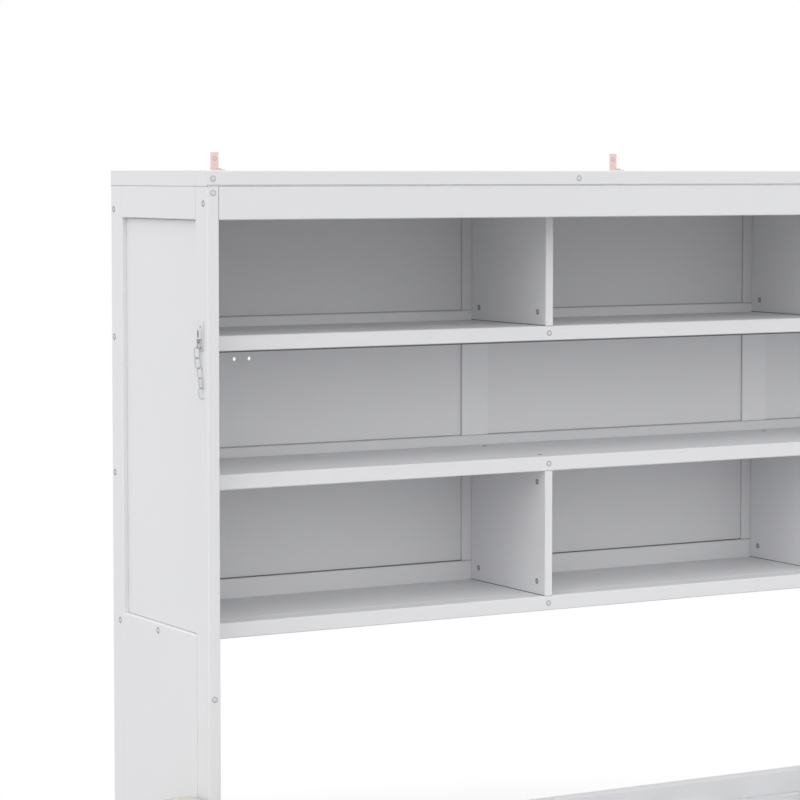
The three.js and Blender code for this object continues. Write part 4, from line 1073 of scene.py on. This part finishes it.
# %% [markdown]
# ## Floor, background and light
# The photograph has a plain white background with no horizon. The world is white to the camera and to
# mirrors, by Light Path's rays. Its light is that of a bright room: it changes with the height that it
# comes from, strongest some way above the horizon, and a soft lobe falls from high at the front left.
# Together they give the photograph's balance between the outside and the shelves. The floor is pale and
# keeps the shadow. It is a round sheet that fades into the background before its rim, so that no edge
# shows from any side.

# %% Floor
floor_radius = 3.4


def disc(radius, rings, spokes_around):
    """A round sheet: rings at growing radii, sqrt-spaced so the faces stay even in size."""
    reach = radius * np.sqrt(np.linspace(0.0004, 1, rings))
    angle = 2 * np.pi * np.arange(spokes_around) / spokes_around
    around = np.stack([np.cos(angle), np.sin(angle), 0 * angle], axis=-1)
    points = (reach[:, None, None] * around).reshape(-1, 3)
    faces = grid_faces(rings, spokes_around, close_columns=True)
    return points, faces[:, ::-1].tolist() + [list(range(spokes_around))]


floor_material = bpy.data.materials.new("floor")
floor_material.use_nodes = True
floor_tree = floor_material.node_tree
floor_tree.nodes.clear()
floor_place = wired(floor_tree, "TexCoord", {}).outputs["Object"]
reach = wired(floor_tree, "VectorMath", {0: floor_place}, operation="LENGTH").outputs["Value"]
fade = spread(floor_tree, reach, 1.7, floor_radius - 0.1)
pale = wired(floor_tree, "BsdfDiffuse", {"Color": (0.62, 0.62, 0.625, 1)}).outputs["BSDF"]
clear = wired(floor_tree, "BsdfTransparent", {}).outputs["BSDF"]
faded = wired(floor_tree, "MixShader", {"Fac": fade, 1: pale, 2: clear}).outputs["Shader"]
wired(floor_tree, "OutputMaterial", {"Surface": faded})
floor_mesh = bpy.data.meshes.new("floor")
floor_points, floor_faces = disc(floor_radius, 24, 96)
floor_mesh.from_pydata(floor_points - [0, 0, 0.0002], [], floor_faces)
floor_mesh.materials.append(floor_material)
floor = placed("floor", floor_mesh)

# %% World and lamps
world = bpy.data.worlds.new("white_room")
bpy.context.scene.world = world
world.use_nodes = True
sky_tree = world.node_tree
sky_tree.nodes.clear()
sky_place = wired(sky_tree, "TexCoord", {}).outputs["Generated"]
height_share = spread(sky_tree, part_of(sky_tree, sky_place, "Z"), -1.0, 1.0)
ramp_node = wired(sky_tree, "ValToRGB", {"Fac": height_share})
ramp = ramp_node.color_ramp
light_at_height = [(-1, 1.2), (-0.5, 0.72), (-0.25, 0.5), (0, 0.78), (0.2, 1.16), (0.4, 1.22)]
light_at_height += [(0.6, 0.82), (0.8, 0.36), (1, 0.05)]
strongest = 1.25
for height, level in light_at_height:
    ends = {-1: ramp.elements[0], 1: ramp.elements[-1]}
    stop = ends[height] if height in ends else ramp.elements.new((height + 1) / 2)
    stop.color = (*[level / strongest] * 3, 1)
print("light by height:", [(round(stop.position, 2), round(stop.color[0], 2)) for stop in ramp.elements])
towards_lobe = {0: sky_place, 1: (-0.31, -0.31, 0.899)}
facing = wired(sky_tree, "VectorMath", towards_lobe, operation="DOT_PRODUCT").outputs["Value"]
lobe = calculate(sky_tree, "POWER", calculate(sky_tree, "MAXIMUM", facing, 0.0), 5.0)
even_light = calculate(sky_tree, "MULTIPLY", ramp_node.outputs["Color"], strongest)
from_lobe = calculate(sky_tree, "MULTIPLY", lobe, 2.2)
strength = calculate(sky_tree, "ADD", even_light, from_lobe)
lighting = wired(sky_tree, "Background", {"Color": (1.0, 0.998, 0.99, 1), "Strength": strength})
backdrop = wired(sky_tree, "Background", {"Color": (1, 1, 1, 1), "Strength": 1.0})
ray = wired(sky_tree, "LightPath", {}).outputs
seen = calculate(sky_tree, "MAXIMUM", ray["Is Camera Ray"], ray["Is Glossy Ray"])
seen = calculate(sky_tree, "MAXIMUM", seen, ray["Is Transmission Ray"])
skies = {"Fac": seen, 1: lighting.outputs["Background"], 2: backdrop.outputs["Background"]}
sky_mix = wired(sky_tree, "MixShader", skies)
wired(sky_tree, "OutputWorld", {"Surface": sky_mix.outputs["Shader"]})

lamp = bpy.data.lights.new("key_lamp", "AREA")
lamp.shape, lamp.size, lamp.energy = "SQUARE", 3.0, 1
key_lamp = placed("key_lamp", lamp)
key_lamp.location = (-2.6, -5.0, 3.4)
key_lamp.rotation_euler = (math.radians(67.57), 0, math.radians(-26.57))
